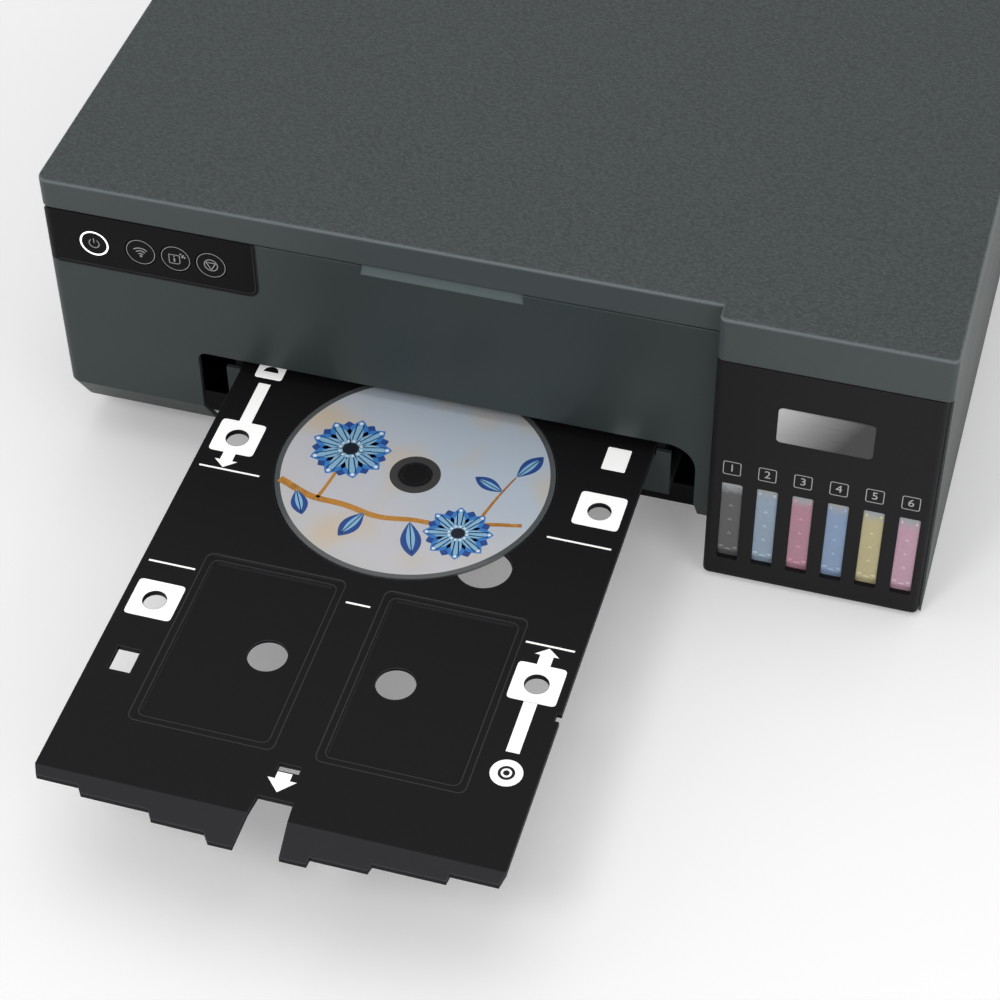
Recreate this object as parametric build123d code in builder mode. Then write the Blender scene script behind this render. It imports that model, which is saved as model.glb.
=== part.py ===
"""Disc label printer: a flat six-colour ink tank printer with a disc and card tray.

Frame: X to the right seen from the front, Y to the back, Z up, in millimetres.
The origin is on the table, under the middle of the closed body's footprint.
Every piece is drawn where it stands with the lid shut and the disc tray pulled out.
"""

import os
from math import acos, cos, pi, radians, sin, sqrt, tan

from build123d import *

# ---------------------------------------------------------------- body
body_width = 397.0
body_depth = 369.0
body_height = 152.0
tank_step = 8.5  # how far the tank section stands in front of the body
tank_width = 97.0
wall = 2.5
seam = 0.6  # shadow gap between two covers
joint_gap = 0.1  # between two covers that meet edge to edge
corner_radius = 8.0
tank_corner_radius = 3.0
lid_depth = 280.5  # from the tank front to the back edge of the lid
lid_rim = 14.7
tank_rim = 22.4
lid_edge_radius = 1.6

half_width = body_width / 2
tank_front_y = -body_depth / 2
front_y = tank_front_y + tank_step
rear_y = body_depth / 2
tank_x = half_width - tank_width
lid_back_y = tank_front_y + lid_depth
rim_z = body_height - lid_rim
tank_rim_z = body_height - tank_rim

# ---------------------------------------------------------------- front
undercut_z = 34.5
undercut_depth = 11.0
panel_foot_z = 17.0
panel_return = 14.0  # how far the front panel wraps round the corner
slot_share = 0.756  # of the width beside the tank section
slot_top_z = 67.6
slot_small_radius = 4.0
slot_large_radius = 13.0
scoop_shift = 1.2  # from the slot's middle to the right
scoop_width = 71.0
scoop_height = 4.8
control_width = 98.0
control_height = 29.2
control_radius = 5.0
side_radius = 5.0  # upright corner at the left of the front and the lid
scoop_wall = 0.6
button_drop = 15.7  # from the panel's top edge to the middle of the buttons
button_radius = 7.0
button_gap = 0.25
button_travel = 0.6
button_flange = 0.9
button_flange_wall = 1.0
light_ring_width = 0.9
switch_reach = 1.5
switch_gap = 0.4
switch_body = 1.0
switch_size = 6.0
switch_margin = 12.0
switch_board_height = 20.0
plunger_radius = 1.6
board_wall = 1.6
button_insets = {
    "power_button": 23.3,
    "network_button": 44.8,
    "info_button": 60.9,
    "stop_button": 77.1,
}

# ---------------------------------------------------------------- tanks
tank_count = 6
tank_pitch = 15.26
first_tank_inset = 10.6
window_width = 9.2
window_height = 46.7
window_foot_z = 13.3
tank_body_width = 12.4
tank_body_depth = 104.0
tank_foot_z = 9.0
tank_headroom = 51.0  # from the top of the tanks to the top of the lid
tank_nose_height = 42.0
tank_nose_inset = 0.7
tank_nose_radius = 1.0
tank_wall = 1.4
neck_setback = 30.0
tank_gap = 0.15
tank_cover_foot_z = 2.0
tank_foot_radius = 1.5
tank_cover_return = 12.0
neck_radius = 4.6
neck_height = 5.0
cap_wall = 1.0
cap_height = 6.0
cap_skirt = 1.4
cap_arm_width = 4.8
cap_ear_width = 2.0
cap_pivot_radius = 1.0

# ---------------------------------------------------------------- base
floor_gap = 6.0
foot_radius = 8.0
foot_inset_x = 32.0
foot_inset_y = 30.0
base_front_y = -150.0
base_inset = 8.0
base_wall_height = 12.0
base_wall = 2.5
base_rib_inset = 70.0
base_rib_height = 5.0

# ---------------------------------------------------------------- disc tray
tray_top_z = 60.0
tray_thickness = 2.5
tray_width = 189.4
tray_front_y = -404.3
tray_back_y = -146.0
lip_depth = 13.4
lip_drop = 4.2
disc_radius = 60.0
disc_thickness = 1.2
disc_bore_radius = 7.5
disc_y = -216.0
disc_seat_depth = 0.8
seat_gap = 0.6
hub_radius = 7.2
card_width = 54.4
card_height = 85.6
card_recess = 1.0
card_room_share = 0.287841  # of the room beside a card, what lies towards the middle
card_y = -327.8
card_hole_shift = 11.8  # finger hole from the card's centre, towards the middle
hole_radius = 5.0
big_hole_radius = 8.2
mark_inset = 13.6  # mark column from the tray's side
guide_gap = 0.35

# ---------------------------------------------------------------- output tray
output_margin = 7.1  # wider than the disc tray on each side
output_ear_z = 59.2
output_plate_z = 56.4
output_floor_z = 34.0
output_length = 178.0
output_wall_height = 8.0
extension_inset = 18.0
extension_wall = 2.6
extension_length = 150.0
output_gap = 0.5
sheet_wall = 2.0
pull_width = 40.0
pull_reach = 6.0
pull_depth = 1.2

# ---------------------------------------------------------------- paper path
feed_roller_y = 0.0
roller_radius = 6.0
roller_gap = 0.25
shaft_radius = 3.0
bearing_gap = 0.06
pinch_radius = 4.0
pinch_lift = 0.9  # pinch rollers above the tray's top face
pinch_length = 24.0
pinch_count = 4
frame_left_inset = 46.5  # from the body's left side
frame_right_gap = 7.5  # from the tank section
frame_wall = 1.6
frame_flange = 8.0
slot_shift = 0.220588  # share of the room beside the output tray that lies left of it
platen_gap = 0.6
platen_height = 12.0
platen_rib_height = 5.0
platen_rib_pitch = 22.0
pickup_radius = 12.0
pickup_gap = 0.705
pickup_along = 34.916  # up the feeder's slope
pickup_width = 30.0

# ---------------------------------------------------------------- gears
gear_module = 1.0
feed_teeth = 36
idler_teeth = 44
eject_teeth = 36
pinion_teeth = 16
gear_addendum = 0.9
gear_dedendum = 1.25
gear_width = 5.0
gear_backlash = 0.30
gear_gap = 2.0  # from the side frame to the gears
pinion_direction = -45.0
pressure_angle = 20.0
flank_steps = 3
gear_holes = 6
fit_gap = 0.01

# ---------------------------------------------------------------- carriage
rail_y = -16.0
rail_wall = 1.5
rail_height = 20.0
rail_drop = 7.0  # below the top of the carriage
carriage_width = 60.0
carriage_front_y = -62.0
carriage_park_inset = 53.5
head_z = 61.8
head_height = 8.0
carriage_headroom = 41.0  # from the top of the carriage to the top of the lid
slide_gap = 0.3
pulley_radius = 5.0
belt_thickness = 0.9
belt_width = 6.0
belt_drop = 8.0  # below the rail's top edge
belt_gap = 0.3
belt_y = -6.0
belt_left_inset = 22.5
belt_right_inset = 18.5
belt_window = 16.0
pulley_drop = 3.0
clamp_width = 40.0
motor_collar = 5.0
motor_shaft_radius = 1.5
motor_radius = 12.0
motor_height = 28.0

# ---------------------------------------------------------------- rear
deck_gap = 0.4
hinge_radius = 3.0
hinge_pin_radius = 1.5
hinge_width = 12.0
hinge_inset = 48.5
hinge_gap = 0.4
pin_gap = 0.05
feed_side_gap = 0.2  # between the feed opening's right end and the right frame
feed_opening_front = 12.0  # behind the deck's front edge
feed_opening_depth = 66.0
slope_rise = 1.6  # foot of the feeder's slope above the disc tray
slope_inset = 12.4
slope_drop = 13.0
flap_thickness = 2.6
flap_gap = 0.5
inlet_inset = 36.5  # left of the tank section
inlet_z = 32.0
inlet_width = 22.0
inlet_height = 15.0
usb_inset = 88.5  # from the body's left side
usb_z = 37.2
usb_width = 12.6
usb_height = 11.2
usb_gap = 0.15
usb_setback = 0.6
usb_length = 16.4
usb_wall = 1.8
board_inset = 8.0
mainboard_width = 160.0
board_gap = 3.0
vent_x = -30.0
vent_drop = 62.0
vent_count = 9
vent_pitch = 7.0
vent_length = 40.0
vent_width = 2.6
flap_relief = 2.0
flap_ribs = (0.1, 0.3, 0.7, 0.9)  # places across the flap
flap_rib_height = 2.0
flap_rib_wall = 1.6

# ---------------------------------------------------------------- places that follow from the sizes
paper_bay = body_width - tank_width
slot_width = slot_share * paper_bay
output_width = tray_width + 2 * output_margin
frame_left_x = -half_width + frame_left_inset
frame_right_x = tank_x - frame_right_gap
frame_room = frame_right_x - frame_left_x - frame_wall
slot_centre_x = (frame_left_x + frame_wall + frame_right_x) / 2 + slot_shift * (frame_room - output_width)
feed_opening_width = 2 * (frame_right_x - slot_centre_x - feed_side_gap)
scoop_centre_x = slot_centre_x + scoop_shift
button_places = {name: inset - half_width for name, inset in button_insets.items()}
first_tank_x = tank_x + first_tank_inset
tank_body_height = body_height - tank_headroom - tank_foot_z
carriage_top_z = body_height - carriage_headroom
carriage_park_x = half_width - carriage_park_inset
rail_top_z = carriage_top_z - rail_drop
rail_foot_z = rail_top_z - rail_height
belt_z = rail_top_z - belt_drop
belt_left_x = -half_width + belt_left_inset
belt_right_x = half_width - belt_right_inset
pulley_top_z = rail_top_z - pulley_drop
hinge_x = half_width - hinge_inset
inlet_x = tank_x - inlet_inset
usb_x = -half_width + usb_inset
vent_z = body_height - vent_drop
tray_x = slot_centre_x
tray_left_x = tray_x - tray_width / 2
tray_right_x = tray_x + tray_width / 2
tray_foot_z = tray_top_z - tray_thickness
roller_z = tray_foot_z - roller_gap - roller_radius
panel_top_z = rim_z - seam
button_z = panel_top_z - button_drop

os.makedirs("parts", exist_ok=True)


def save(part, name):
    """Labels one finished piece and writes its STEP file."""
    part.label = name
    export_step(part, f"parts/{name}.step")


def box_between(low, high, mode=Mode.ADD):
    """A block between two corners, for the part that is being built."""
    size = [b - a for a, b in zip(low, high)]
    middle = tuple((a + b) / 2 for a, b in zip(low, high))
    with Locations(middle):
        return Box(*size, mode=mode)


def cut_between(low, high):
    """Removes a block between two corners from the part that is being built."""
    return box_between(low, high, mode=Mode.SUBTRACT)


def rod_along_x(x0, x1, y, z, radius, mode=Mode.ADD):
    """A round bar along X from x0 to x1."""
    with Locations(Location(((x0 + x1) / 2, y, z), (0, 90, 0))):
        return Cylinder(radius, x1 - x0, mode=mode)


def rod_along_y(x, y0, y1, z, radius, mode=Mode.ADD):
    """A round bar along Y from y0 to y1."""
    with Locations(Location((x, (y0 + y1) / 2, z), (90, 0, 0))):
        return Cylinder(radius, y1 - y0, mode=mode)


def rod_along_z(x, y, z0, z1, radius, mode=Mode.ADD):
    """A round bar along Z from z0 to z1."""
    with Locations((x, y, (z0 + z1) / 2)):
        return Cylinder(radius, z1 - z0, mode=mode)


# ================================================================ base and feet
base_left_x = -half_width + base_inset
base_right_x = half_width - base_inset
base_rear_y = rear_y - base_inset
base_top_z = floor_gap + base_wall_height
base_floor_z = floor_gap + base_wall

base_notch_x = tank_x - base_wall
base_notch_y = tank_front_y + wall + tank_gap + tank_body_depth + 1.0

with BuildPart() as base_pan:
    with BuildSketch(Plane.XY.offset(floor_gap)) as base_outline:
        with BuildLine():
            Polyline(
                (base_left_x, base_front_y),
                (base_notch_x, base_front_y),
                (base_notch_x, base_notch_y),
                (base_right_x, base_notch_y),
                (base_right_x, base_rear_y),
                (base_left_x, base_rear_y),
                close=True,
            )
        make_face()
        fillet(base_outline.vertices(), corner_radius)
    extrude(amount=base_wall_height)
    with BuildSketch(Plane.XY.offset(base_floor_z)):
        add(base_outline.sketch.moved(Location((0, 0, -floor_gap))))
        offset(amount=-base_wall, mode=Mode.REPLACE)
    extrude(amount=base_wall_height, mode=Mode.SUBTRACT)
    for rib_x in (base_left_x + base_rib_inset, base_notch_x - base_rib_inset):
        rib_low = (rib_x - base_wall / 2, base_front_y + base_wall, base_floor_z)
        rib_high = (rib_x + base_wall / 2, base_rear_y - base_wall, base_floor_z + base_rib_height)
        box_between(rib_low, rib_high)
save(base_pan.part, "base_pan")

with BuildPart() as rubber_feet:
    with BuildSketch(Plane.XY):
        for foot_x in (-half_width + foot_inset_x, half_width - foot_inset_x):
            for foot_y in (base_front_y + foot_inset_y, rear_y - foot_inset_y):
                with Locations((foot_x, foot_y)):
                    Circle(foot_radius)
        Circle(foot_radius)  # the middle foot keeps the pan from sagging
    extrude(amount=floor_gap)
    chamfer(rubber_feet.edges().group_by(Axis.Z)[0], 1.0)
save(rubber_feet.part, "rubber_feet")

# ================================================================ front panel and control panel
panel_right_x = tank_x - seam
panel_back_y = front_y + panel_return
undercut_y = front_y + undercut_depth
control_right_x = -half_width + control_width
control_foot_z = panel_top_z - control_height

with BuildPart() as front_shell:
    with BuildSketch(Plane.YZ.offset(-half_width)):
        with BuildLine():
            Polyline(
                (front_y, panel_top_z),
                (front_y, undercut_z),
                (undercut_y, panel_foot_z),
                (panel_back_y, panel_foot_z),
                (panel_back_y, panel_top_z),
                close=True,
            )
        make_face()
    extrude(amount=panel_right_x + half_width)
    side_edges = front_shell.edges().group_by(Axis.X)[0]
    fillet([e for e in side_edges if e.center().Y < undercut_y - 1 and e.length > wall * 3], side_radius)
    with BuildSketch(Plane.YZ.offset(-half_width + wall)):
        with BuildLine():
            Polyline(
                (front_y + wall, panel_top_z + 1),
                (front_y + wall, undercut_z),
                (undercut_y + wall, panel_foot_z),
                (undercut_y + wall, panel_foot_z - 1),
                (panel_back_y + 1, panel_foot_z - 1),
                (panel_back_y + 1, panel_top_z + 1),
                close=True,
            )
        make_face()
    extrude(amount=panel_right_x + half_width - 2 * wall, mode=Mode.SUBTRACT)


def control_region(gap):
    """The block that the control panel fills, smaller by a gap at its foot and right end."""
    low_z = control_foot_z + gap
    right_x = control_right_x - gap
    with BuildPart(mode=Mode.PRIVATE) as region:
        box_between((-half_width - 1, front_y - 1, low_z), (right_x, panel_back_y + 1, panel_top_z + 1))
        corner = region.edges().filter_by(Axis.Y).group_by(Axis.Z)[0].sort_by(Axis.X)[-1]
        fillet(corner, control_radius)
    return region.part


with BuildPart() as front_panel:
    add(front_shell.part)
    add(control_region(0.0), mode=Mode.SUBTRACT)
    with BuildSketch(Plane.XZ.offset(-panel_back_y - 1)) as slot_sketch:
        with Locations((slot_centre_x, slot_top_z)):
            Rectangle(slot_width, slot_top_z, align=(Align.CENTER, Align.MAX))
        top_corners = slot_sketch.vertices().group_by(Axis.Y)[-1].sort_by(Axis.X)
        fillet(top_corners[0], slot_small_radius)
        fillet(slot_sketch.vertices().group_by(Axis.Y)[-1].sort_by(Axis.X)[-1], slot_large_radius)
    extrude(amount=panel_return + 2, mode=Mode.SUBTRACT)
    with BuildSketch(Plane.YZ.offset(scoop_centre_x - scoop_width / 2)):
        with BuildLine():
            Polyline(
                (front_y - 1, panel_top_z + 1),
                (front_y - 1, panel_top_z - scoop_height),
                (front_y, panel_top_z - scoop_height),
                (front_y + wall - scoop_wall, panel_top_z - 1),
                (front_y + wall - scoop_wall, panel_top_z + 1),
                close=True,
            )
        make_face()
    extrude(amount=scoop_width, mode=Mode.SUBTRACT)
save(front_panel.part, "front_panel")

with BuildPart() as control_panel:
    add(front_shell.part)
    add(control_region(seam / 2), mode=Mode.INTERSECT)
    button_hole = button_radius + button_gap
    for place in button_places.values():
        rod_along_y(place, front_y - 1, front_y + wall + 1, button_z, button_hole, Mode.SUBTRACT)
    ring_outer = button_radius + button_gap + light_ring_width
    power_x = button_places["power_button"]
    rod_along_y(power_x, front_y - 1, front_y + wall + 1, button_z, ring_outer, Mode.SUBTRACT)
save(control_panel.part, "control_panel")

with BuildPart() as power_light_ring:
    rod_along_y(power_x, front_y, front_y + wall, button_z, ring_outer - 0.05)
    rod_along_y(power_x, front_y, front_y + wall, button_z, button_radius + button_gap, Mode.SUBTRACT)
save(power_light_ring.part, "power_light_ring")

flange_front_y = front_y + wall + button_gap
button_back_y = flange_front_y + button_flange_wall
for button_name, place in button_places.items():
    with BuildPart() as button:
        rod_along_y(place, front_y, button_back_y, button_z, button_radius)
        chamfer(button.edges().group_by(Axis.Y)[0], 0.4)
        rod_along_y(place, flange_front_y, button_back_y, button_z, button_radius + button_flange)
    save(button.part, button_name)

board_front_y = button_back_y + button_travel + switch_reach + switch_gap
switch_front_y = board_front_y - switch_body
board_left_x = power_x - switch_margin
board_right_x = button_places["stop_button"] + switch_margin
half_board = switch_board_height / 2
half_switch = switch_size / 2
with BuildPart() as button_board:
    board_low = (board_left_x, board_front_y, button_z - half_board)
    box_between(board_low, (board_right_x, board_front_y + board_wall, button_z + half_board))
    for place in button_places.values():
        switch_low = (place - half_switch, switch_front_y, button_z - half_switch)
        box_between(switch_low, (place + half_switch, board_front_y, button_z + half_switch))
        rod_along_y(place, board_front_y - switch_reach, switch_front_y, button_z, plunger_radius)
save(button_board.part, "button_board")

# ================================================================ tank section
cover_right_x = half_width - wall / 2
cover_back_y = tank_front_y + tank_cover_return
cover_top_z = tank_rim_z - seam
tank_xs = [first_tank_x + tank_pitch * i for i in range(tank_count)]

with BuildPart() as tank_cover:
    box_between((tank_x, tank_front_y, tank_cover_foot_z), (cover_right_x, cover_back_y, cover_top_z))
    upright = tank_cover.edges().filter_by(Axis.Z).group_by(Axis.Y)[0]
    fillet(upright, tank_corner_radius)
    foot_edge = tank_cover.edges().group_by(Axis.Z)[0].group_by(Axis.Y)[0]
    fillet(foot_edge, tank_foot_radius)
    cut_low = (tank_x + wall, tank_front_y + wall, tank_cover_foot_z + wall)
    cut_between(cut_low, (cover_right_x - wall, cover_back_y + 1, cover_top_z + 1))
    with BuildSketch(Plane.XZ.offset(-tank_front_y - wall - 1)):
        for tank_centre in tank_xs:
            with Locations((tank_centre, window_foot_z + window_height / 2)):
                RectangleRounded(window_width, window_height, 1.0)
    extrude(amount=wall + 2, mode=Mode.SUBTRACT)
save(tank_cover.part, "tank_cover")

tank_body_y = tank_front_y + wall + tank_gap
tank_back_y = tank_body_y + tank_body_depth
tank_top_z = tank_foot_z + tank_body_height
nose_foot_z = window_foot_z + window_height - tank_nose_height
nose_height = tank_nose_height - tank_gap
neck_y = tank_body_y + neck_setback
neck_top_z = tank_top_z + neck_height
cap_outer_radius = neck_radius + cap_wall + slide_gap
cap_knuckle_radius = cap_pivot_radius + 1.2
cap_pivot_y = neck_y + neck_radius + cap_wall + cap_knuckle_radius
cap_pivot_z = neck_top_z - 1.0
cap_foot_z = neck_top_z - cap_skirt
cap_pin_reach = tank_body_width / 2 - 0.8
for index, tank_centre in enumerate(tank_xs, start=1):
    left = tank_centre - tank_body_width / 2
    right = tank_centre + tank_body_width / 2
    with BuildPart() as ink_tank:
        box_between((left, tank_body_y, tank_foot_z), (right, tank_back_y, tank_top_z))
        with BuildSketch(Plane.XZ.offset(-tank_body_y)):
            with Locations((tank_centre, nose_foot_z + nose_height / 2)):
                RectangleRounded(window_width - 2 * tank_gap, nose_height, tank_nose_radius)
        extrude(amount=tank_body_y - tank_front_y - tank_nose_inset)
        rod_along_z(tank_centre, neck_y, tank_top_z, neck_top_z, neck_radius)
        for ear_x in (left + tank_gap, right - tank_gap - cap_ear_width):
            ear_low = (ear_x, cap_pivot_y - cap_knuckle_radius, tank_top_z)
            ear_back_y = cap_pivot_y + cap_knuckle_radius
            box_between(ear_low, (ear_x + cap_ear_width, ear_back_y, cap_pivot_z + cap_knuckle_radius))
        cut_low = (left + tank_wall, tank_body_y + tank_wall, tank_foot_z + tank_wall)
        cut_between(cut_low, (right - tank_wall, tank_back_y - tank_wall, tank_top_z - tank_wall))
        bore_foot_z = tank_top_z - 2 * tank_wall
        rod_along_z(tank_centre, neck_y, bore_foot_z, neck_top_z + 1, neck_radius - tank_wall, Mode.SUBTRACT)
        rod_along_x(left, right, cap_pivot_y, cap_pivot_z, cap_pivot_radius + bearing_gap, Mode.SUBTRACT)
    save(ink_tank.part, f"ink_tank_{index}")

    with BuildPart() as tank_cap:
        cap_top_z = cap_foot_z + cap_height
        arm_left = tank_centre - cap_arm_width / 2
        arm_right = tank_centre + cap_arm_width / 2
        rod_along_z(tank_centre, neck_y, cap_foot_z, cap_top_z, cap_outer_radius)
        box_between((arm_left, neck_y, cap_pivot_z + cap_pivot_radius), (arm_right, cap_pivot_y, cap_top_z))
        bore_top_z = neck_top_z + slide_gap
        rod_along_z(tank_centre, neck_y, cap_foot_z - 1, bore_top_z, neck_radius + slide_gap, Mode.SUBTRACT)
        rod_along_x(arm_left, arm_right, cap_pivot_y, cap_pivot_z, cap_knuckle_radius)
        pin_left = tank_centre - cap_pin_reach
        rod_along_x(pin_left, tank_centre + cap_pin_reach, cap_pivot_y, cap_pivot_z, cap_pivot_radius)
    save(tank_cap.part, f"tank_cap_{index}")

with BuildPart() as tank_shelf:
    shelf_left = tank_x + wall + seam
    shelf_right = cover_right_x - wall - tank_gap
    shelf_back_y = base_notch_y - corner_radius
    box_between((shelf_left, tank_body_y, floor_gap), (shelf_right, shelf_back_y, tank_foot_z))
    for groove_x in tank_xs[:-1]:
        groove_left = groove_x + tank_body_width / 2
        groove_low = (groove_left, tank_body_y + corner_radius, tank_foot_z - wall / 2)
        groove_right = groove_x + tank_pitch - tank_body_width / 2
        cut_between(groove_low, (groove_right, shelf_back_y - corner_radius, tank_foot_z + 1))
save(tank_shelf.part, "tank_shelf")

# ================================================================ side, rear and top covers
cover_foot_z = 2.0
cover_gap = 0.3
flange_wall = 1.0
rib_height = 2.0
rib_wall = 1.8
rib_drop = 4.0
left_rib_count = 4
right_rib_count = 3
left_cover_top_z = rim_z - seam
right_cover_top_z = tank_rim_z - seam
side_front_y = panel_back_y + joint_gap
deck_front_y = lid_back_y + deck_gap
deck_foot_z = rim_z

with BuildPart() as left_cover:
    box_between((-half_width, side_front_y, panel_foot_z), (-half_width + wall, rear_y, left_cover_top_z))
    flange_low = (-half_width, side_front_y + 10, panel_foot_z)
    box_between(flange_low, (base_left_x, rear_y - wall - cover_gap, panel_foot_z + flange_wall))
    for index in range(left_rib_count):
        rib_y = side_front_y + (rear_y - side_front_y) * (index + 0.8) / left_rib_count
        rib_x = -half_width + wall
        rib_high = (rib_x + rib_height, rib_y + rib_wall, left_cover_top_z - rib_drop)
        box_between((rib_x, rib_y, panel_foot_z), rib_high)
save(left_cover.part, "left_cover")

right_cover_front_y = tank_front_y + tank_corner_radius
with BuildPart() as right_cover:
    right_inner_x = half_width - wall / 2 + joint_gap
    right_low = (right_inner_x, right_cover_front_y, cover_foot_z)
    box_between(right_low, (half_width, rear_y, right_cover_top_z))
    thick_low = (half_width - wall, cover_back_y + cover_gap, cover_foot_z)
    box_between(thick_low, (half_width, rear_y, right_cover_top_z))
    flange_low = (base_right_x, base_notch_y + 4, cover_foot_z)
    box_between(flange_low, (half_width, rear_y - wall - cover_gap, cover_foot_z + 2 * flange_wall))
    for index in range(right_rib_count):
        rib_y = base_notch_y + (rear_y - base_notch_y) * (index + 0.5) / right_rib_count
        rib_low = (half_width - wall - rib_height, rib_y, cover_foot_z)
        box_between(rib_low, (half_width - wall, rib_y + rib_wall, right_cover_top_z - rib_drop))
save(right_cover.part, "right_cover")

rear_inner_y = rear_y - wall
with BuildPart() as rear_cover:
    rear_left_x = -half_width + wall + seam / 2
    rear_right_x = half_width - wall - seam / 2
    rear_foot_z = base_top_z - base_inset
    box_between((rear_left_x, rear_inner_y, rear_foot_z), (rear_right_x, rear_y, right_cover_top_z))
    box_between((rear_left_x, rear_inner_y, right_cover_top_z), (tank_x, rear_y, left_cover_top_z))
    with BuildSketch(Plane.XZ.offset(-rear_y - 1)):
        with Locations((inlet_x, inlet_z)):
            Rectangle(inlet_width, inlet_height)
        with Locations((usb_x, usb_z)):
            Rectangle(usb_width, usb_height)
        with Locations([(vent_x + vent_pitch * (i - vent_count / 2), vent_z) for i in range(vent_count)]):
            SlotOverall(vent_length, vent_width, rotation=90)
    extrude(amount=wall + 2, mode=Mode.SUBTRACT)
save(rear_cover.part, "rear_cover")

opening_left_x = slot_centre_x - feed_opening_width / 2
opening_right_x = slot_centre_x + feed_opening_width / 2
opening_front_y = deck_front_y + feed_opening_front
opening_back_y = opening_front_y + feed_opening_depth
flap_hinge_y = opening_back_y - flap_gap - hinge_radius
flap_hinge_z = body_height - hinge_radius
lid_hinge_y = lid_back_y - hinge_radius
lid_hinge_z = body_height - hinge_radius
deck_wall = 2.5
ear_width = 5.0

with BuildPart() as rear_deck:
    box_between((-half_width, deck_front_y, deck_foot_z), (half_width, rear_y, body_height))
    box_between((tank_x, deck_front_y, tank_rim_z), (half_width, rear_y, deck_foot_z + 1))
    deck_corners = rear_deck.edges().filter_by(Axis.Z).group_by(Axis.Y)[-1]
    fillet(deck_corners, corner_radius / 2)
    inner_top = body_height - deck_wall
    hollow_high = (half_width - wall, rear_y - wall, inner_top)
    cut_between((-half_width + wall, deck_front_y - 1, deck_foot_z - 1), hollow_high)
    cut_between((tank_x - 1, deck_front_y - 1, tank_rim_z - 1), hollow_high)
    opening_low = (opening_left_x, opening_front_y, deck_foot_z)
    rim_low = (opening_left_x - 2, opening_front_y - 2, deck_foot_z + 2)
    box_between(rim_low, (opening_right_x + 2, opening_back_y + 2, inner_top))
    cut_between(opening_low, (opening_right_x, opening_back_y, body_height + 1))
    relief_low = (opening_left_x, opening_back_y - 1, body_height - flap_relief)
    cut_between(relief_low, (opening_right_x, opening_back_y + flap_relief, body_height + 1))
    front_wall_low = (-half_width + wall, deck_front_y, deck_foot_z + 2)
    box_between(front_wall_low, (half_width - wall, deck_front_y + 1.6, body_height - 1))
    for side in (-1, 1):
        knuckle_x = side * hinge_x
        for ear_side in (-1, 1):
            near = hinge_width / 2 + hinge_gap
            ear_centre = knuckle_x + ear_side * (near + ear_width / 2)
            x0 = ear_centre - ear_width / 2
            x1 = ear_centre + ear_width / 2
            rod_along_x(x0, x1, lid_hinge_y, lid_hinge_z, hinge_radius)
            ear_low = (x0, lid_hinge_y, lid_hinge_z - hinge_radius)
            box_between(ear_low, (x1, deck_front_y + 1.6, lid_hinge_z + hinge_radius - 1.2))
        x0 = knuckle_x - hinge_width / 2 - hinge_gap - ear_width - 1
        x1 = knuckle_x + hinge_width / 2 + hinge_gap + ear_width + 1
        rod_along_x(x0, x1, lid_hinge_y, lid_hinge_z, hinge_pin_radius + 0.01, Mode.SUBTRACT)
    for x0, x1 in ((opening_left_x - 3, opening_left_x + 1), (opening_right_x - 1, opening_right_x + 3)):
        rod_along_x(x0, x1, flap_hinge_y, flap_hinge_z, hinge_pin_radius + pin_gap, Mode.SUBTRACT)
save(rear_deck.part, "rear_deck")

with BuildPart() as lid_hinge_pins:
    for side in (-1, 1):
        reach = hinge_width / 2 + hinge_gap + ear_width
        pin_x = side * hinge_x
        rod_along_x(pin_x - reach, pin_x + reach, lid_hinge_y, lid_hinge_z, hinge_pin_radius)
save(lid_hinge_pins.part, "lid_hinge_pins")

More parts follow.
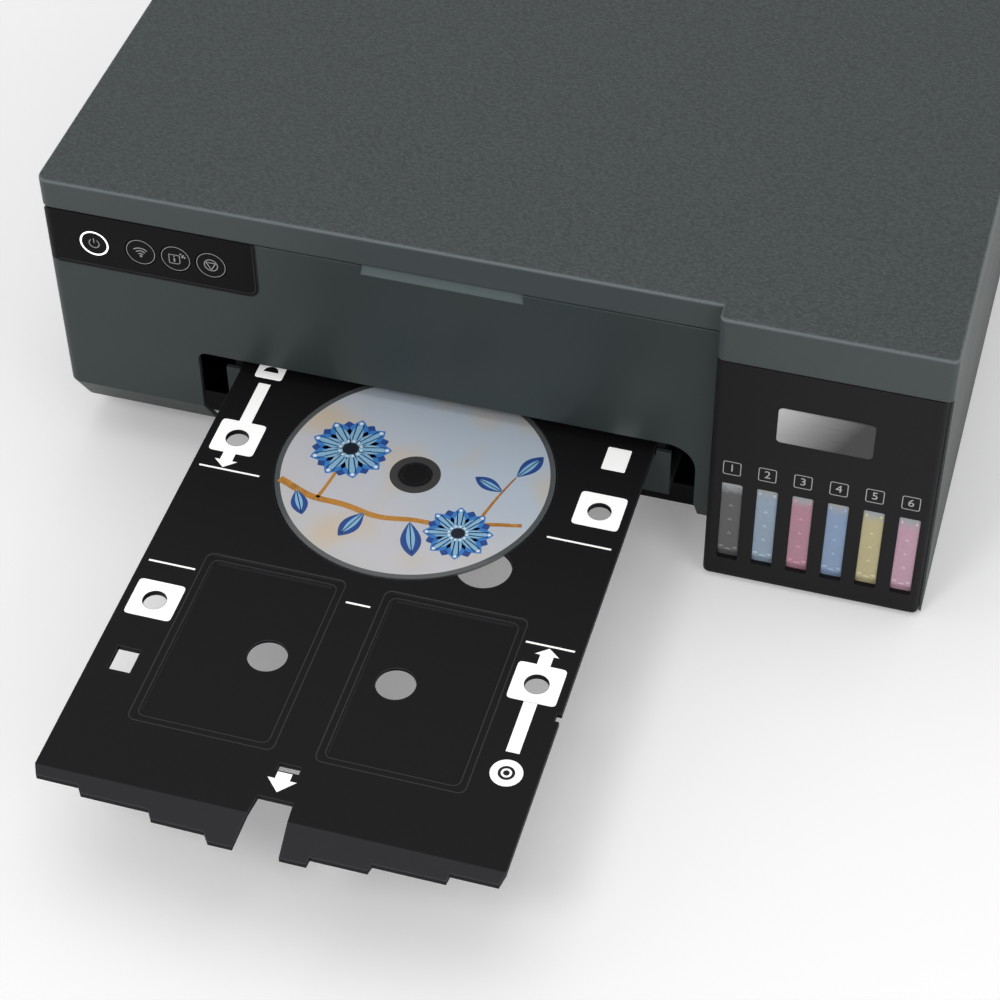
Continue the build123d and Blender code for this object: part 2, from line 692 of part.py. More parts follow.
with BuildPart() as top_lid:
    with BuildSketch(Plane.XY.offset(rim_z)) as lid_outline:
        with BuildLine():
            Polyline(
                (-half_width, front_y),
                (tank_x, front_y),
                (tank_x, tank_front_y),
                (half_width, tank_front_y),
                (half_width, lid_back_y),
                (-half_width, lid_back_y),
                close=True,
            )
        make_face()
        front_corners = lid_outline.vertices().group_by(Axis.Y)
        fillet(front_corners[0], tank_corner_radius)
        fillet(lid_outline.vertices().sort_by(Axis.X)[0:2].sort_by(Axis.Y)[0], side_radius)
    extrude(amount=lid_rim)
    with BuildSketch(Plane.XY.offset(tank_rim_z)) as tank_outline:
        with Locations(((tank_x + half_width) / 2, (tank_front_y + lid_back_y) / 2)):
            Rectangle(tank_width, lid_depth)
        fillet(tank_outline.vertices().group_by(Axis.Y)[0], tank_corner_radius)
    extrude(amount=tank_rim - lid_rim)
    top_face = top_lid.faces().sort_by(Axis.Z)[-1]
    round_edges = [e for e in top_face.edges() if e.center().Y < lid_back_y - 1]
    fillet(round_edges, lid_edge_radius)
    inner_top = body_height - wall
    with BuildSketch(Plane.XY.offset(tank_rim_z - 1)):
        with BuildLine():
            Polyline(
                (-half_width + wall, front_y + wall),
                (tank_x + wall, front_y + wall),
                (tank_x + wall, tank_front_y + wall),
                (half_width - wall, tank_front_y + wall),
                (half_width - wall, lid_back_y + 1),
                (-half_width + wall, lid_back_y + 1),
                close=True,
            )
        make_face()
    extrude(amount=inner_top - tank_rim_z + 1, mode=Mode.SUBTRACT)
    cut_between((tank_x - 1, front_y + wall, tank_rim_z - 1), (tank_x + wall + 1, lid_back_y + 1, inner_top))
    with BuildSketch(Plane.YZ.offset(-half_width - 1)):
        with Locations((lid_hinge_y + hinge_radius, lid_hinge_z + hinge_radius)):
            Rectangle(2 * hinge_radius, 2 * hinge_radius)
        with Locations((lid_hinge_y, lid_hinge_z)):
            Circle(hinge_radius, mode=Mode.SUBTRACT)
    extrude(amount=body_width + 2, mode=Mode.SUBTRACT)
    back_low = (-half_width + wall, lid_hinge_y - 1.6, body_height - 5.5)
    box_between(back_low, (half_width - wall, lid_hinge_y, inner_top))
    for side in (-1, 1):
        x0 = side * hinge_x - hinge_width / 2
        x1 = side * hinge_x + hinge_width / 2
        rod_along_x(x0, x1, lid_hinge_y, lid_hinge_z, hinge_radius)
        for ear_side in (-1, 1):
            ear_centre = side * hinge_x + ear_side * (hinge_width / 2 + hinge_gap + ear_width / 2)
            half_ear = ear_width / 2 + hinge_gap
            notch_low = (ear_centre - half_ear, lid_hinge_y - hinge_radius - hinge_gap, rim_z)
            cut_between(notch_low, (ear_centre + half_ear, lid_back_y + 1, body_height + 1))
        rod_along_x(x0 - 1, x1 + 1, lid_hinge_y, lid_hinge_z, hinge_pin_radius + pin_gap, Mode.SUBTRACT)
save(top_lid.part, "top_lid")

flap_left_x = opening_left_x + flap_gap
flap_right_x = opening_right_x - flap_gap
with BuildPart() as paper_support:
    flap_low = (flap_left_x, opening_front_y + flap_gap, body_height - flap_thickness)
    box_between(flap_low, (flap_right_x, flap_hinge_y, body_height))
    rod_along_x(flap_left_x, flap_right_x, flap_hinge_y, flap_hinge_z, hinge_radius)
    rod_along_x(opening_left_x - 1.8, opening_right_x + 1.8, flap_hinge_y, flap_hinge_z, hinge_pin_radius)
    flap_foot_z = body_height - flap_thickness
    for share in flap_ribs:
        rib_x = flap_left_x + share * (flap_right_x - flap_left_x)
        rib_low = (rib_x, opening_front_y + 2 * hinge_radius, flap_foot_z - flap_rib_height)
        box_between(rib_low, (rib_x + flap_rib_wall, flap_hinge_y, flap_foot_z))
save(paper_support.part, "paper_support")

# ================================================================ sheet feeder
slope_start_y = 88.0
slope_start_z = tray_top_z + slope_rise
slope_end_y = opening_back_y - slope_inset
slope_end_z = body_height - slope_drop
hopper_wall = 2.0
hopper_inset = 2.0
guide_inset = 23.0
hopper_ribs = (0.14, 0.32, 0.69, 0.87)  # places across the hopper
hopper_rib_foot_z = tray_top_z + 8.0
hopper_rib_start = 34.0
hopper_rib_sink = 0.5
guide_plate_front_y = 14.0
guide_plate_wall = 1.5
guide_place = feed_opening_width / 2 - guide_inset
guide_width = 2.0
guide_foot_width = 14.0
guide_foot_wall = 1.6
guide_height = 12.0
guide_length = 40.0
guide_end = 7.1  # from the guides' upper end to the end of the slope
slope_length = sqrt((slope_end_y - slope_start_y) ** 2 + (slope_end_z - slope_start_z) ** 2)
slope_cos = (slope_end_y - slope_start_y) / slope_length
slope_sin = (slope_end_z - slope_start_z) / slope_length
guide_far = slope_length - guide_end
guide_near = guide_far - guide_length


def on_slope(along, above):
    """A place (y, z) on the feeder's slope: distance up it and height above its underside."""
    y = slope_start_y + slope_cos * along - slope_sin * above
    z = slope_start_z + slope_sin * along + slope_cos * above
    return (y, z)


hopper_left_x = opening_left_x + hopper_inset
hopper_right_x = opening_right_x - hopper_inset
with BuildPart() as feed_hopper:
    with BuildSketch(Plane.YZ.offset(hopper_left_x)):
        with BuildLine():
            Polyline(
                (guide_plate_front_y, slope_start_z),
                (slope_start_y, slope_start_z),
                (slope_end_y, slope_end_z),
                on_slope(slope_length, hopper_wall),
                on_slope(0.0, hopper_wall),
                (slope_start_y - hopper_wall, slope_start_z + guide_plate_wall),
                (guide_plate_front_y, slope_start_z + guide_plate_wall),
                close=True,
            )
        make_face()
    extrude(amount=hopper_right_x - hopper_left_x)
    for share in hopper_ribs:
        rib_x = hopper_left_x + share * (hopper_right_x - hopper_left_x)
        rib_back = on_slope(slope_length - hopper_rib_start / 4, hopper_rib_sink)
        with BuildSketch(Plane.YZ.offset(rib_x)):
            with BuildLine():
                Polyline(
                    (on_slope(hopper_rib_start, 0.0)[0], hopper_rib_foot_z),
                    on_slope(hopper_rib_start, hopper_rib_sink),
                    rib_back,
                    (rib_back[0], hopper_rib_foot_z),
                    close=True,
                )
            make_face()
        extrude(amount=guide_width)
save(feed_hopper.part, "feed_hopper")

for guide_name, side in (("edge_guide_left", -1), ("edge_guide_right", 1)):
    with BuildPart() as edge_guide:
        fence_x = slot_centre_x + side * guide_place - guide_width / 2
        foot_x = slot_centre_x + side * guide_place - guide_foot_width / 2
        foot_base = hopper_wall + slide_gap
        fence = (foot_base, foot_base + guide_height)
        foot = (foot_base, foot_base + guide_foot_wall)
        for start_x, width, (low, high) in ((fence_x, guide_width, fence), (foot_x, guide_foot_width, foot)):
            with BuildSketch(Plane.YZ.offset(start_x)):
                with BuildLine():
                    Polyline(
                        on_slope(guide_near, low),
                        on_slope(guide_far, low),
                        on_slope(guide_far, high),
                        on_slope(guide_near, high),
                        close=True,
                    )
                make_face()
            extrude(amount=width)
    save(edge_guide.part, guide_name)

shaft_left_x = frame_left_x - gear_gap - gear_width - 0.5
shaft_right_x = frame_right_x + frame_wall + 1.0
pickup_y, pickup_z = on_slope(pickup_along, hopper_wall + pickup_gap + pickup_radius)
with BuildPart() as pickup_roller:
    rod_along_x(frame_left_x - 1, shaft_right_x, pickup_y, pickup_z, shaft_radius)
    half_pickup = pickup_width / 2
    rod_along_x(slot_centre_x - half_pickup, slot_centre_x + half_pickup, pickup_y, pickup_z, pickup_radius)
save(pickup_roller.part, "pickup_roller")

# ================================================================ disc tray and disc
hub_claw_radius = 5.5
tray_corner = 3.0
notch_front = (-9.5, 9.7)  # from the tray's centre line
notch_back = (-6.6, 7.8)
notch_back_y = tray_front_y + 8.9
small_hole_inset = 13.4
small_hole_y = -345.8
disc_finger_offset = (43.2, -43.0)  # from the disc's middle
disc_finger_radius = 11.7
window_size = (9.8, 12.4)
front_window_size = (9.1, 3.7)
front_window_setback = 24.1
front_window_shift = 0.7
side_notch = 4.0
outline_margin = 3.0  # shallow border round the card recesses
outline_depth = 0.3
mark_holes = ((-1, 0.9), (1, 0.5), (-1, -96.9), (1, -97.7))  # side, and y from the disc's middle
left_lip_steps = (  # from the tray's left side, and in front of the fold
    (1.9, 4.1),
    (19.3, 4.2),
    (21.3, 7.1),
    (49.2, 7.2),
    (51.4, 10.5),
    (73.1, 10.7),
    (75.6, 13.9),
)
right_lip_steps = (  # from the tray's right side
    (74.4, 13.9),
    (73.8, 11.0),
    (51.0, 11.0),
    (50.0, 8.2),
    (21.1, 8.2),
    (20.4, 5.1),
    (1.5, 5.1),
)
card_offset = card_width / 2 + card_room_share * (tray_width / 2 - card_width)
with BuildPart() as disc_tray:
    with BuildSketch(Plane.XY.offset(tray_foot_z)) as tray_outline:
        with Locations((tray_x, (tray_front_y + tray_back_y) / 2)):
            Rectangle(tray_width, tray_back_y - tray_front_y)
        fillet(tray_outline.vertices().group_by(Axis.Y)[-1], tray_corner)
    extrude(amount=tray_thickness)
    with BuildSketch(Plane.XY.offset(tray_foot_z - lip_drop)):
        with BuildLine():
            corners = [(tray_left_x + inset, tray_front_y - ahead) for inset, ahead in left_lip_steps]
            corners += [(tray_right_x - inset, tray_front_y - ahead) for inset, ahead in right_lip_steps]
            Polyline((tray_left_x, tray_front_y), *corners, (tray_right_x, tray_front_y), close=True)
        make_face()
    extrude(amount=lip_drop + tray_thickness)
    with BuildSketch(Plane.YZ.offset(tray_left_x - 1)):
        with BuildLine():
            lip_end_y = tray_front_y - lip_depth - 2
            lip_slope = lip_drop / lip_depth
            end_drop = lip_slope * (lip_depth + 2)
            Polyline(
                (tray_front_y, tray_top_z),
                (lip_end_y, tray_top_z - end_drop),
                (lip_end_y, tray_top_z + 1),
                (tray_front_y, tray_top_z + 1),
                close=True,
            )
        make_face()
        with BuildLine():
            Polyline(
                (tray_front_y + 1, tray_foot_z),
                (tray_front_y, tray_foot_z),
                (lip_end_y, tray_foot_z - end_drop),
                (lip_end_y, tray_foot_z - end_drop - 9),
                (tray_front_y + 1, tray_foot_z - end_drop - 9),
                close=True,
            )
        make_face()
    extrude(amount=tray_width + 2, mode=Mode.SUBTRACT)
    with BuildSketch(Plane.XY.offset(tray_foot_z - lip_drop - 3)):
        with BuildLine():
            Polyline(
                (tray_x + notch_front[0], tray_front_y - lip_depth - 2),
                (tray_x + notch_back[0], notch_back_y),
                (tray_x + notch_back[1], notch_back_y),
                (tray_x + notch_front[1], tray_front_y - lip_depth - 2),
                close=True,
            )
        make_face()
        for side in (-1, 1):
            with Locations((tray_x + side * (card_offset - card_hole_shift), card_y)):
                Circle(big_hole_radius)
        with Locations((tray_x + disc_finger_offset[0], disc_y + disc_finger_offset[1])):
            Circle(disc_finger_radius)
        for side, hole_shift in mark_holes:
            with Locations((tray_x + side * (tray_width / 2 - mark_inset), disc_y + hole_shift)):
                Circle(hole_radius)
        with Locations((tray_left_x + small_hole_inset, small_hole_y)):
            Rectangle(*window_size)
        with Locations((tray_x + front_window_shift, tray_front_y + front_window_setback)):
            Rectangle(*front_window_size)
        with Locations((tray_right_x, card_y)):
            Rectangle(side_notch, side_notch)
    extrude(amount=tray_thickness + lip_drop + 6, mode=Mode.SUBTRACT)
    with BuildSketch(Plane.XY.offset(tray_top_z - disc_seat_depth)):
        with Locations((tray_x, disc_y)):
            Circle(disc_radius + seat_gap)
    extrude(amount=disc_seat_depth + 1, mode=Mode.SUBTRACT)
    with BuildSketch(Plane.XY.offset(tray_top_z - outline_depth)):
        for side in (-1, 1):
            with Locations((tray_x + side * card_offset, card_y)):
                RectangleRounded(card_width + 2 * outline_margin, card_height + 2 * outline_margin, tray_corner)
    extrude(amount=outline_depth + 1, mode=Mode.SUBTRACT)
    with BuildSketch(Plane.XY.offset(tray_top_z - card_recess)):
        for side in (-1, 1):
            with Locations((tray_x + side * card_offset, card_y)):
                RectangleRounded(card_width, card_height, tray_corner)
    extrude(amount=card_recess + 1, mode=Mode.SUBTRACT)
    hub_top_z = tray_top_z - disc_seat_depth + disc_thickness
    rod_along_z(tray_x, disc_y, tray_foot_z, hub_top_z, hub_radius)
    with BuildSketch(Plane.XY.offset(hub_top_z)):
        with Locations((tray_x, disc_y)):
            Circle(hub_claw_radius + 0.7)
            Circle(hub_claw_radius, mode=Mode.SUBTRACT)
    extrude(amount=-disc_thickness, mode=Mode.SUBTRACT)
save(disc_tray.part, "disc_tray")

with BuildPart() as disc:
    disc_foot_z = tray_top_z - disc_seat_depth
    with BuildSketch(Plane.XY.offset(disc_foot_z)):
        with Locations((tray_x, disc_y)):
            Circle(disc_radius)
            Circle(disc_bore_radius, mode=Mode.SUBTRACT)
    extrude(amount=disc_thickness)
save(disc.part, "disc")

# ================================================================ tray guides and output tray
rail_front_y = -170.0
rail_back_y = -90.0
rail_ledge = 3.0
rail_side = 3.5
rail_head_z = 64.0
bar_foot_z = 52.0
bar_back_y = -96.0
bar_depth = 12.0
with BuildPart() as tray_guides:
    for side in (-1, 1):
        near_x = tray_x + side * (tray_width / 2 + guide_gap)
        far_x = near_x + side * rail_side
        ledge_x = near_x - side * rail_ledge
        x0, x1 = sorted((near_x, far_x))
        box_between((x0, rail_front_y, bar_foot_z), (x1, rail_back_y, rail_head_z))
        x0, x1 = sorted((ledge_x, far_x))
        box_between((x0, rail_front_y, bar_foot_z), (x1, rail_back_y, tray_foot_z - guide_gap))
    bar_low = (frame_left_x + frame_wall, bar_back_y - bar_depth, bar_foot_z)
    box_between(bar_low, (frame_right_x, bar_back_y, tray_foot_z - 2))
save(tray_guides.part, "tray_guides")

output_left_x = tray_x - output_width / 2
output_right_x = tray_x + output_width / 2
output_front_y = front_y + 3.0
output_back_y = output_front_y + output_length
output_top_z = output_floor_z + output_wall_height
ear_left_x = tray_left_x - output_gap
ear_right_x = tray_right_x + output_gap
plate_back_y = output_front_y + sheet_wall
extension_left_x = output_left_x + extension_inset
extension_right_x = output_right_x - extension_inset
extension_foot_z = output_floor_z - extension_wall - slide_gap
rail_lip_z = extension_foot_z - slide_gap - sheet_wall / 2
with BuildPart() as output_tray:
    output_low = (output_left_x, output_front_y, output_floor_z)
    box_between(output_low, (output_right_x, output_back_y, output_floor_z + sheet_wall))
    box_between(output_low, (output_right_x, plate_back_y, output_plate_z))
    box_between(output_low, (ear_left_x, plate_back_y, output_ear_z))
    box_between((ear_right_x, output_front_y, output_floor_z), (output_right_x, plate_back_y, output_ear_z))
    for side in (-1, 1):
        outer_x = tray_x + side * output_width / 2
        inner_x = outer_x - side * sheet_wall
        x0, x1 = sorted((outer_x, inner_x))
        box_between((x0, output_front_y, output_floor_z), (x1, output_back_y, output_top_z))
        near_x = tray_x + side * (output_width / 2 - extension_inset + slide_gap)
        x0, x1 = sorted((near_x, near_x + side * sheet_wall))
        box_between((x0, plate_back_y, rail_lip_z), (x1, output_back_y, output_floor_z))
        x0, x1 = sorted((near_x + side * sheet_wall, near_x - side * rail_ledge))
        box_between((x0, plate_back_y, rail_lip_z), (x1, output_back_y, extension_foot_z - slide_gap))
save(output_tray.part, "output_tray")

with BuildPart() as output_extension:
    extension_low = (extension_left_x, output_front_y, extension_foot_z)
    extension_back_y = output_front_y + extension_length
    box_between(extension_low, (extension_right_x, extension_back_y, output_floor_z - slide_gap))
    pull_low = (tray_x - pull_width / 2, output_front_y - 1, extension_foot_z)
    pull_back_y = output_front_y + pull_reach
    cut_between(pull_low, (tray_x + pull_width / 2, pull_back_y, extension_foot_z + pull_depth))
save(output_extension.part, "output_extension")

# ================================================================ side frames, rollers and platen
frame_front_y = bar_back_y - bar_depth - 4.0
frame_back_y = pickup_y + 13.5
frame_low_z = tray_top_z
frame_top_z = rail_top_z + 8.0
pinch_y = feed_roller_y
pinch_z = tray_top_z + pinch_lift + pinch_radius
pinch_shaft_radius = 1.5
eject_roller_y = feed_roller_y - gear_module * (feed_teeth + 2 * idler_teeth + eject_teeth) / 2
idler_y = feed_roller_y - gear_module * (feed_teeth + idler_teeth) / 2
pinion_distance = gear_module * (feed_teeth + pinion_teeth) / 2
pinion_y = feed_roller_y + pinion_distance * cos(radians(pinion_direction))
pinion_z = roller_z + pinion_distance * sin(radians(pinion_direction))
shaft_hole = shaft_radius + bearing_gap
pinch_hole = pinch_shaft_radius + bearing_gap
frame_x1 = frame_left_x + frame_wall

with BuildPart() as left_frame:
    box_between((frame_left_x, frame_front_y, base_floor_z), (frame_x1, frame_back_y, frame_top_z))
    flange_high = (frame_x1 + frame_flange, frame_back_y, base_floor_z + frame_wall)
    box_between((frame_left_x, frame_front_y, base_floor_z), flange_high)
    for roller_y in (feed_roller_y, eject_roller_y):
        rod_along_x(frame_left_x - 1, frame_x1 + 1, roller_y, roller_z, shaft_hole, Mode.SUBTRACT)
    rod_along_x(frame_left_x - 1, frame_x1 + 1, pickup_y, pickup_z, shaft_hole, Mode.SUBTRACT)
    rod_along_x(frame_left_x - 1, frame_x1 + 1, pinch_y, pinch_z, pinch_hole, Mode.SUBTRACT)
    collar_hole = motor_collar + bearing_gap
    rod_along_x(frame_left_x - 1, frame_x1 + 1, pinion_y, pinion_z, collar_hole, Mode.SUBTRACT)
    window_low = (frame_left_x - 1, belt_y - belt_window / 2, belt_z - belt_window / 2)
    cut_between(window_low, (frame_x1 + 1, belt_y + belt_window / 2, belt_z + belt_window / 2))
    slot_low = (frame_left_x - 1, rail_y - bearing_gap, rail_foot_z - bearing_gap)
    cut_between(slot_low, (frame_x1 + 1, rail_y + rail_wall + bearing_gap, rail_top_z + bearing_gap))
    rod_along_x(shaft_left_x, frame_left_x, idler_y, roller_z, shaft_radius)
save(left_frame.part, "left_frame")

frame_step_y = belt_y + belt_window
with BuildPart() as right_frame:
    right_x1 = frame_right_x + frame_wall
    box_between((frame_right_x, frame_front_y, base_floor_z), (right_x1, frame_back_y, frame_low_z))
    box_between((frame_right_x, rail_y + 4, base_floor_z), (right_x1, frame_back_y, frame_low_z + 14))
    box_between((frame_right_x, frame_step_y, base_floor_z), (right_x1, frame_back_y, frame_top_z))
    for roller_y in (feed_roller_y, eject_roller_y):
        rod_along_x(frame_right_x - 1, right_x1 + 1, roller_y, roller_z, shaft_hole, Mode.SUBTRACT)
    rod_along_x(frame_right_x - 1, right_x1 + 1, pickup_y, pickup_z, shaft_hole, Mode.SUBTRACT)
    rod_along_x(frame_right_x - 1, right_x1 + 1, pinch_y, pinch_z, pinch_hole, Mode.SUBTRACT)
save(right_frame.part, "right_frame")

roller_left_x = tray_left_x - 4.0
roller_right_x = tray_right_x + 4.0
with BuildPart() as feed_roller:
    rod_along_x(shaft_left_x, shaft_right_x, feed_roller_y, roller_z, shaft_radius)
    rod_along_x(roller_left_x, roller_right_x, feed_roller_y, roller_z, roller_radius)
save(feed_roller.part, "feed_roller")

wheel_width = 12.0
wheel_count = 8
with BuildPart() as eject_roller:
    rod_along_x(shaft_left_x, shaft_right_x, eject_roller_y, roller_z, shaft_radius)
    wheel_pitch = (tray_width - wheel_width) / (wheel_count - 1)
    for index in range(wheel_count):
        wheel_x = tray_left_x + wheel_pitch * index
        rod_along_x(wheel_x, wheel_x + wheel_width, eject_roller_y, roller_z, roller_radius)
save(eject_roller.part, "eject_roller")

with BuildPart() as pinch_rollers:
    rod_along_x(frame_left_x - 1, shaft_right_x, pinch_y, pinch_z, pinch_shaft_radius)
    pinch_pitch = (tray_width - pinch_length) / (pinch_count - 1)
    for index in range(pinch_count):
        pinch_x = tray_left_x + pinch_pitch * index
        rod_along_x(pinch_x, pinch_x + pinch_length, pinch_y, pinch_z, pinch_radius)
save(pinch_rollers.part, "pinch_rollers")

platen_top_z = tray_foot_z - platen_gap
platen_front_y = eject_roller_y + roller_radius + 2.0
platen_back_y = feed_roller_y - roller_radius - 2.0
platen_deck_z = platen_top_z - platen_rib_height
with BuildPart() as platen:
    platen_low = (frame_x1, platen_front_y, platen_top_z - platen_height)
    box_between(platen_low, (frame_right_x, platen_back_y, platen_deck_z))
    rib_count = int(tray_width / platen_rib_pitch)
    for index in range(rib_count + 1):
        rib_x = tray_left_x + 4 + platen_rib_pitch * index
        box_between((rib_x, platen_front_y, platen_deck_z), (rib_x + 1.6, platen_back_y, platen_top_z))
    well_low = (frame_x1 + 4, platen_front_y + 14, platen_deck_z - 3)
    cut_between(well_low, (frame_right_x - 4, platen_back_y - 14, platen_deck_z))
save(platen.part, "platen")

# ================================================================ gear train


def involute(angle):
    """The involute function of a pressure angle in radians."""
    return tan(angle) - angle


def gear_outline(teeth, first_tooth):
    """Corner points of a spur gear with involute flanks.

    first_tooth is the direction of one tooth's middle, in degrees from +Y towards +Z.
    The flanks follow the involute of the base circle and run straight in below it.
    """
    pitch_radius = gear_module * teeth / 2
    base_radius = pitch_radius * cos(radians(pressure_angle))
    tip_radius = pitch_radius + gear_addendum * gear_module
    root_radius = pitch_radius - gear_dedendum * gear_module
    half_pitch = pi / (2 * teeth) - gear_backlash / (4 * pitch_radius)
    start = max(base_radius, root_radius)
    flank = [start + (tip_radius - start) * i / flank_steps for i in range(flank_steps + 1)]
    pitch_involute = involute(radians(pressure_angle))
    half_angles = [half_pitch + pitch_involute - involute(acos(base_radius / r)) for r in flank]
    if root_radius < start:
        flank.insert(0, root_radius)
        half_angles.insert(0, half_angles[0])
    points = []
    for tooth in range(teeth):
        middle = radians(first_tooth) + 2 * pi * tooth / teeth
        for radius, half in zip(flank, half_angles):
            points.append((radius * cos(middle - half), radius * sin(middle - half)))
        for radius, half in zip(reversed(flank), reversed(half_angles)):
            points.append((radius * cos(middle + half), radius * sin(middle + half)))
    return points


def mating_tooth(first_tooth, teeth, direction, mate_teeth):
    """The direction of a tooth on the mate, so that the two gears stand in mesh."""
    return direction + 180 + 180 / mate_teeth - (first_tooth - direction) * teeth / mate_teeth


gear_x = frame_left_x - gear_gap - gear_width
feed_phase = 0.0
idler_phase = mating_tooth(feed_phase, feed_teeth, 180.0, idler_teeth)
eject_phase = mating_tooth(idler_phase, idler_teeth, 180.0, eject_teeth)
pinion_phase = mating_tooth(feed_phase, feed_teeth, pinion_direction, pinion_teeth)
gears = (
    ("feed_gear", feed_teeth, feed_phase, feed_roller_y, roller_z, shaft_radius + fit_gap),
    ("idler_gear", idler_teeth, idler_phase, idler_y, roller_z, shaft_hole),
    ("eject_gear", eject_teeth, eject_phase, eject_roller_y, roller_z, shaft_radius + fit_gap),
    ("motor_pinion", pinion_teeth, pinion_phase, pinion_y, pinion_z, motor_shaft_radius + bearing_gap),
)
for gear_name, teeth, phase, gear_y, gear_z, bore in gears:
    with BuildPart() as gear:
        with BuildSketch(Plane(origin=(gear_x, gear_y, gear_z), x_dir=(0, 1, 0), z_dir=(1, 0, 0))):
            with BuildLine():
                Polyline(*gear_outline(teeth, phase), close=True)
            make_face()
            Circle(bore, mode=Mode.SUBTRACT)
            web_radius = gear_module * teeth / 2 - 4.5
            if web_radius > 3 * bore:
                with PolarLocations((web_radius + 2 * bore) / 2, gear_holes):
                    Circle((web_radius - 2 * bore) / 2, mode=Mode.SUBTRACT)
        extrude(amount=gear_width)
    save(gear.part, gear_name)

with BuildPart() as feed_motor:
    rod_along_x(frame_x1, frame_x1 + motor_height, pinion_y, pinion_z, motor_radius)
    rod_along_x(frame_left_x, frame_x1, pinion_y, pinion_z, motor_collar)
    rod_along_x(gear_x - 0.5, frame_left_x, pinion_y, pinion_z, motor_shaft_radius)
save(feed_motor.part, "feed_motor")

# ================================================================ carriage and its drive
rail_left_x = frame_left_x - 8.0
rail_right_x = belt_right_x + 6.0
bracket_z = rail_foot_z - rail_wall
motor_top_z = bracket_z
with BuildPart() as guide_rail:
    box_between((rail_left_x, rail_y, rail_foot_z), (rail_right_x, rail_y + rail_wall, rail_top_z))
    left_low = (belt_left_x - motor_radius, rail_y, bracket_z)
    box_between(left_low, (belt_left_x + motor_radius, belt_y + motor_radius, rail_foot_z))
    bracket_back_y = belt_y + 2 * pulley_radius
    bracket_right_x = rail_right_x + rail_wall
    right_low = (belt_right_x - motor_radius, rail_y, bracket_z)
    box_between(right_low, (bracket_right_x, bracket_back_y, rail_foot_z))
    box_between((rail_right_x, rail_y, base_floor_z), (bracket_right_x, bracket_back_y, rail_foot_z))
    rod_along_z(belt_left_x, belt_y, bracket_z - 1, rail_foot_z + 1, motor_shaft_radius + 0.5, Mode.SUBTRACT)
    rod_along_z(belt_right_x, belt_y, rail_foot_z, pulley_top_z + 1, motor_shaft_radius)
save(guide_rail.part, "guide_rail")

carriage_left_x = carriage_park_x - carriage_width / 2
carriage_right_x = carriage_park_x + carriage_width / 2
carriage_back_y = rail_y - 4.0
shell_foot_z = head_z + head_height
clamp_left_x = carriage_park_x - clamp_width / 2
clamp_right_x = carriage_park_x + clamp_width / 2
run_y = belt_y - pulley_radius - belt_gap - belt_thickness
with BuildPart() as carriage:
    shell_high = (carriage_right_x, carriage_back_y, carriage_top_z)
    box_between((carriage_left_x, carriage_front_y, shell_foot_z), shell_high)
    chamfer(carriage.edges().group_by(Axis.Z)[-1].sort_by(Axis.Y)[0], 6.0)
    head_low = (carriage_left_x + 8, carriage_front_y + 8, head_z)
    box_between(head_low, (carriage_right_x - 8, carriage_back_y - 8, shell_foot_z))
    pad_low = (carriage_left_x, carriage_back_y, shell_foot_z + 12)
    box_between(pad_low, (carriage_right_x, rail_y - slide_gap, shell_foot_z + 20))
    arm_low_z = rail_top_z + slide_gap
    clamp_back_y = run_y - belt_gap
    clamp_front_y = rail_y + rail_wall + slide_gap
    box_between((clamp_left_x, carriage_back_y, arm_low_z), (clamp_right_x, clamp_back_y, carriage_top_z))
    box_between((clamp_left_x, clamp_front_y, belt_z - belt_width), (clamp_right_x, clamp_back_y, arm_low_z))
    hook_low_z = belt_z + belt_width / 2 + belt_gap
    hook_back_y = run_y + belt_thickness + belt_gap
    box_between((clamp_left_x, clamp_back_y, hook_low_z), (clamp_right_x, hook_back_y, carriage_top_z))
save(carriage.part, "carriage")

with BuildPart() as drive_belt:
    with BuildSketch(Plane.XY.offset(belt_z - belt_width / 2)):
        with Locations(((belt_left_x + belt_right_x) / 2, belt_y)):
            belt_inner = pulley_radius + belt_gap
            SlotCenterToCenter(belt_right_x - belt_left_x, 2 * (belt_inner + belt_thickness))
            SlotCenterToCenter(belt_right_x - belt_left_x, 2 * belt_inner, mode=Mode.SUBTRACT)
    extrude(amount=belt_width)
save(drive_belt.part, "drive_belt")

flange_radius = pulley_radius + 2.0
flange_reach = belt_width / 2 + belt_gap
for pulley_name, pulley_x, bore in (
    ("drive_pulley", belt_left_x, motor_shaft_radius + bearing_gap),
    ("idler_pulley", belt_right_x, motor_shaft_radius + bearing_gap),
):
    with BuildPart() as pulley:
        rod_along_z(pulley_x, belt_y, belt_z - flange_reach - 1, belt_z + flange_reach + 1, pulley_radius)
        for flange_z in (belt_z - flange_reach - 1, belt_z + flange_reach):
            rod_along_z(pulley_x, belt_y, flange_z, flange_z + 1, flange_radius)
        rod_along_z(pulley_x, belt_y, belt_z - 9, belt_z + 9, bore, Mode.SUBTRACT)
    save(pulley.part, pulley_name)

with BuildPart() as carriage_motor:
    rod_along_z(belt_left_x, belt_y, motor_top_z - motor_height, motor_top_z, motor_radius)
    rod_along_z(belt_left_x, belt_y, motor_top_z, pulley_top_z + 1, motor_shaft_radius)
save(carriage_motor.part, "carriage_motor")

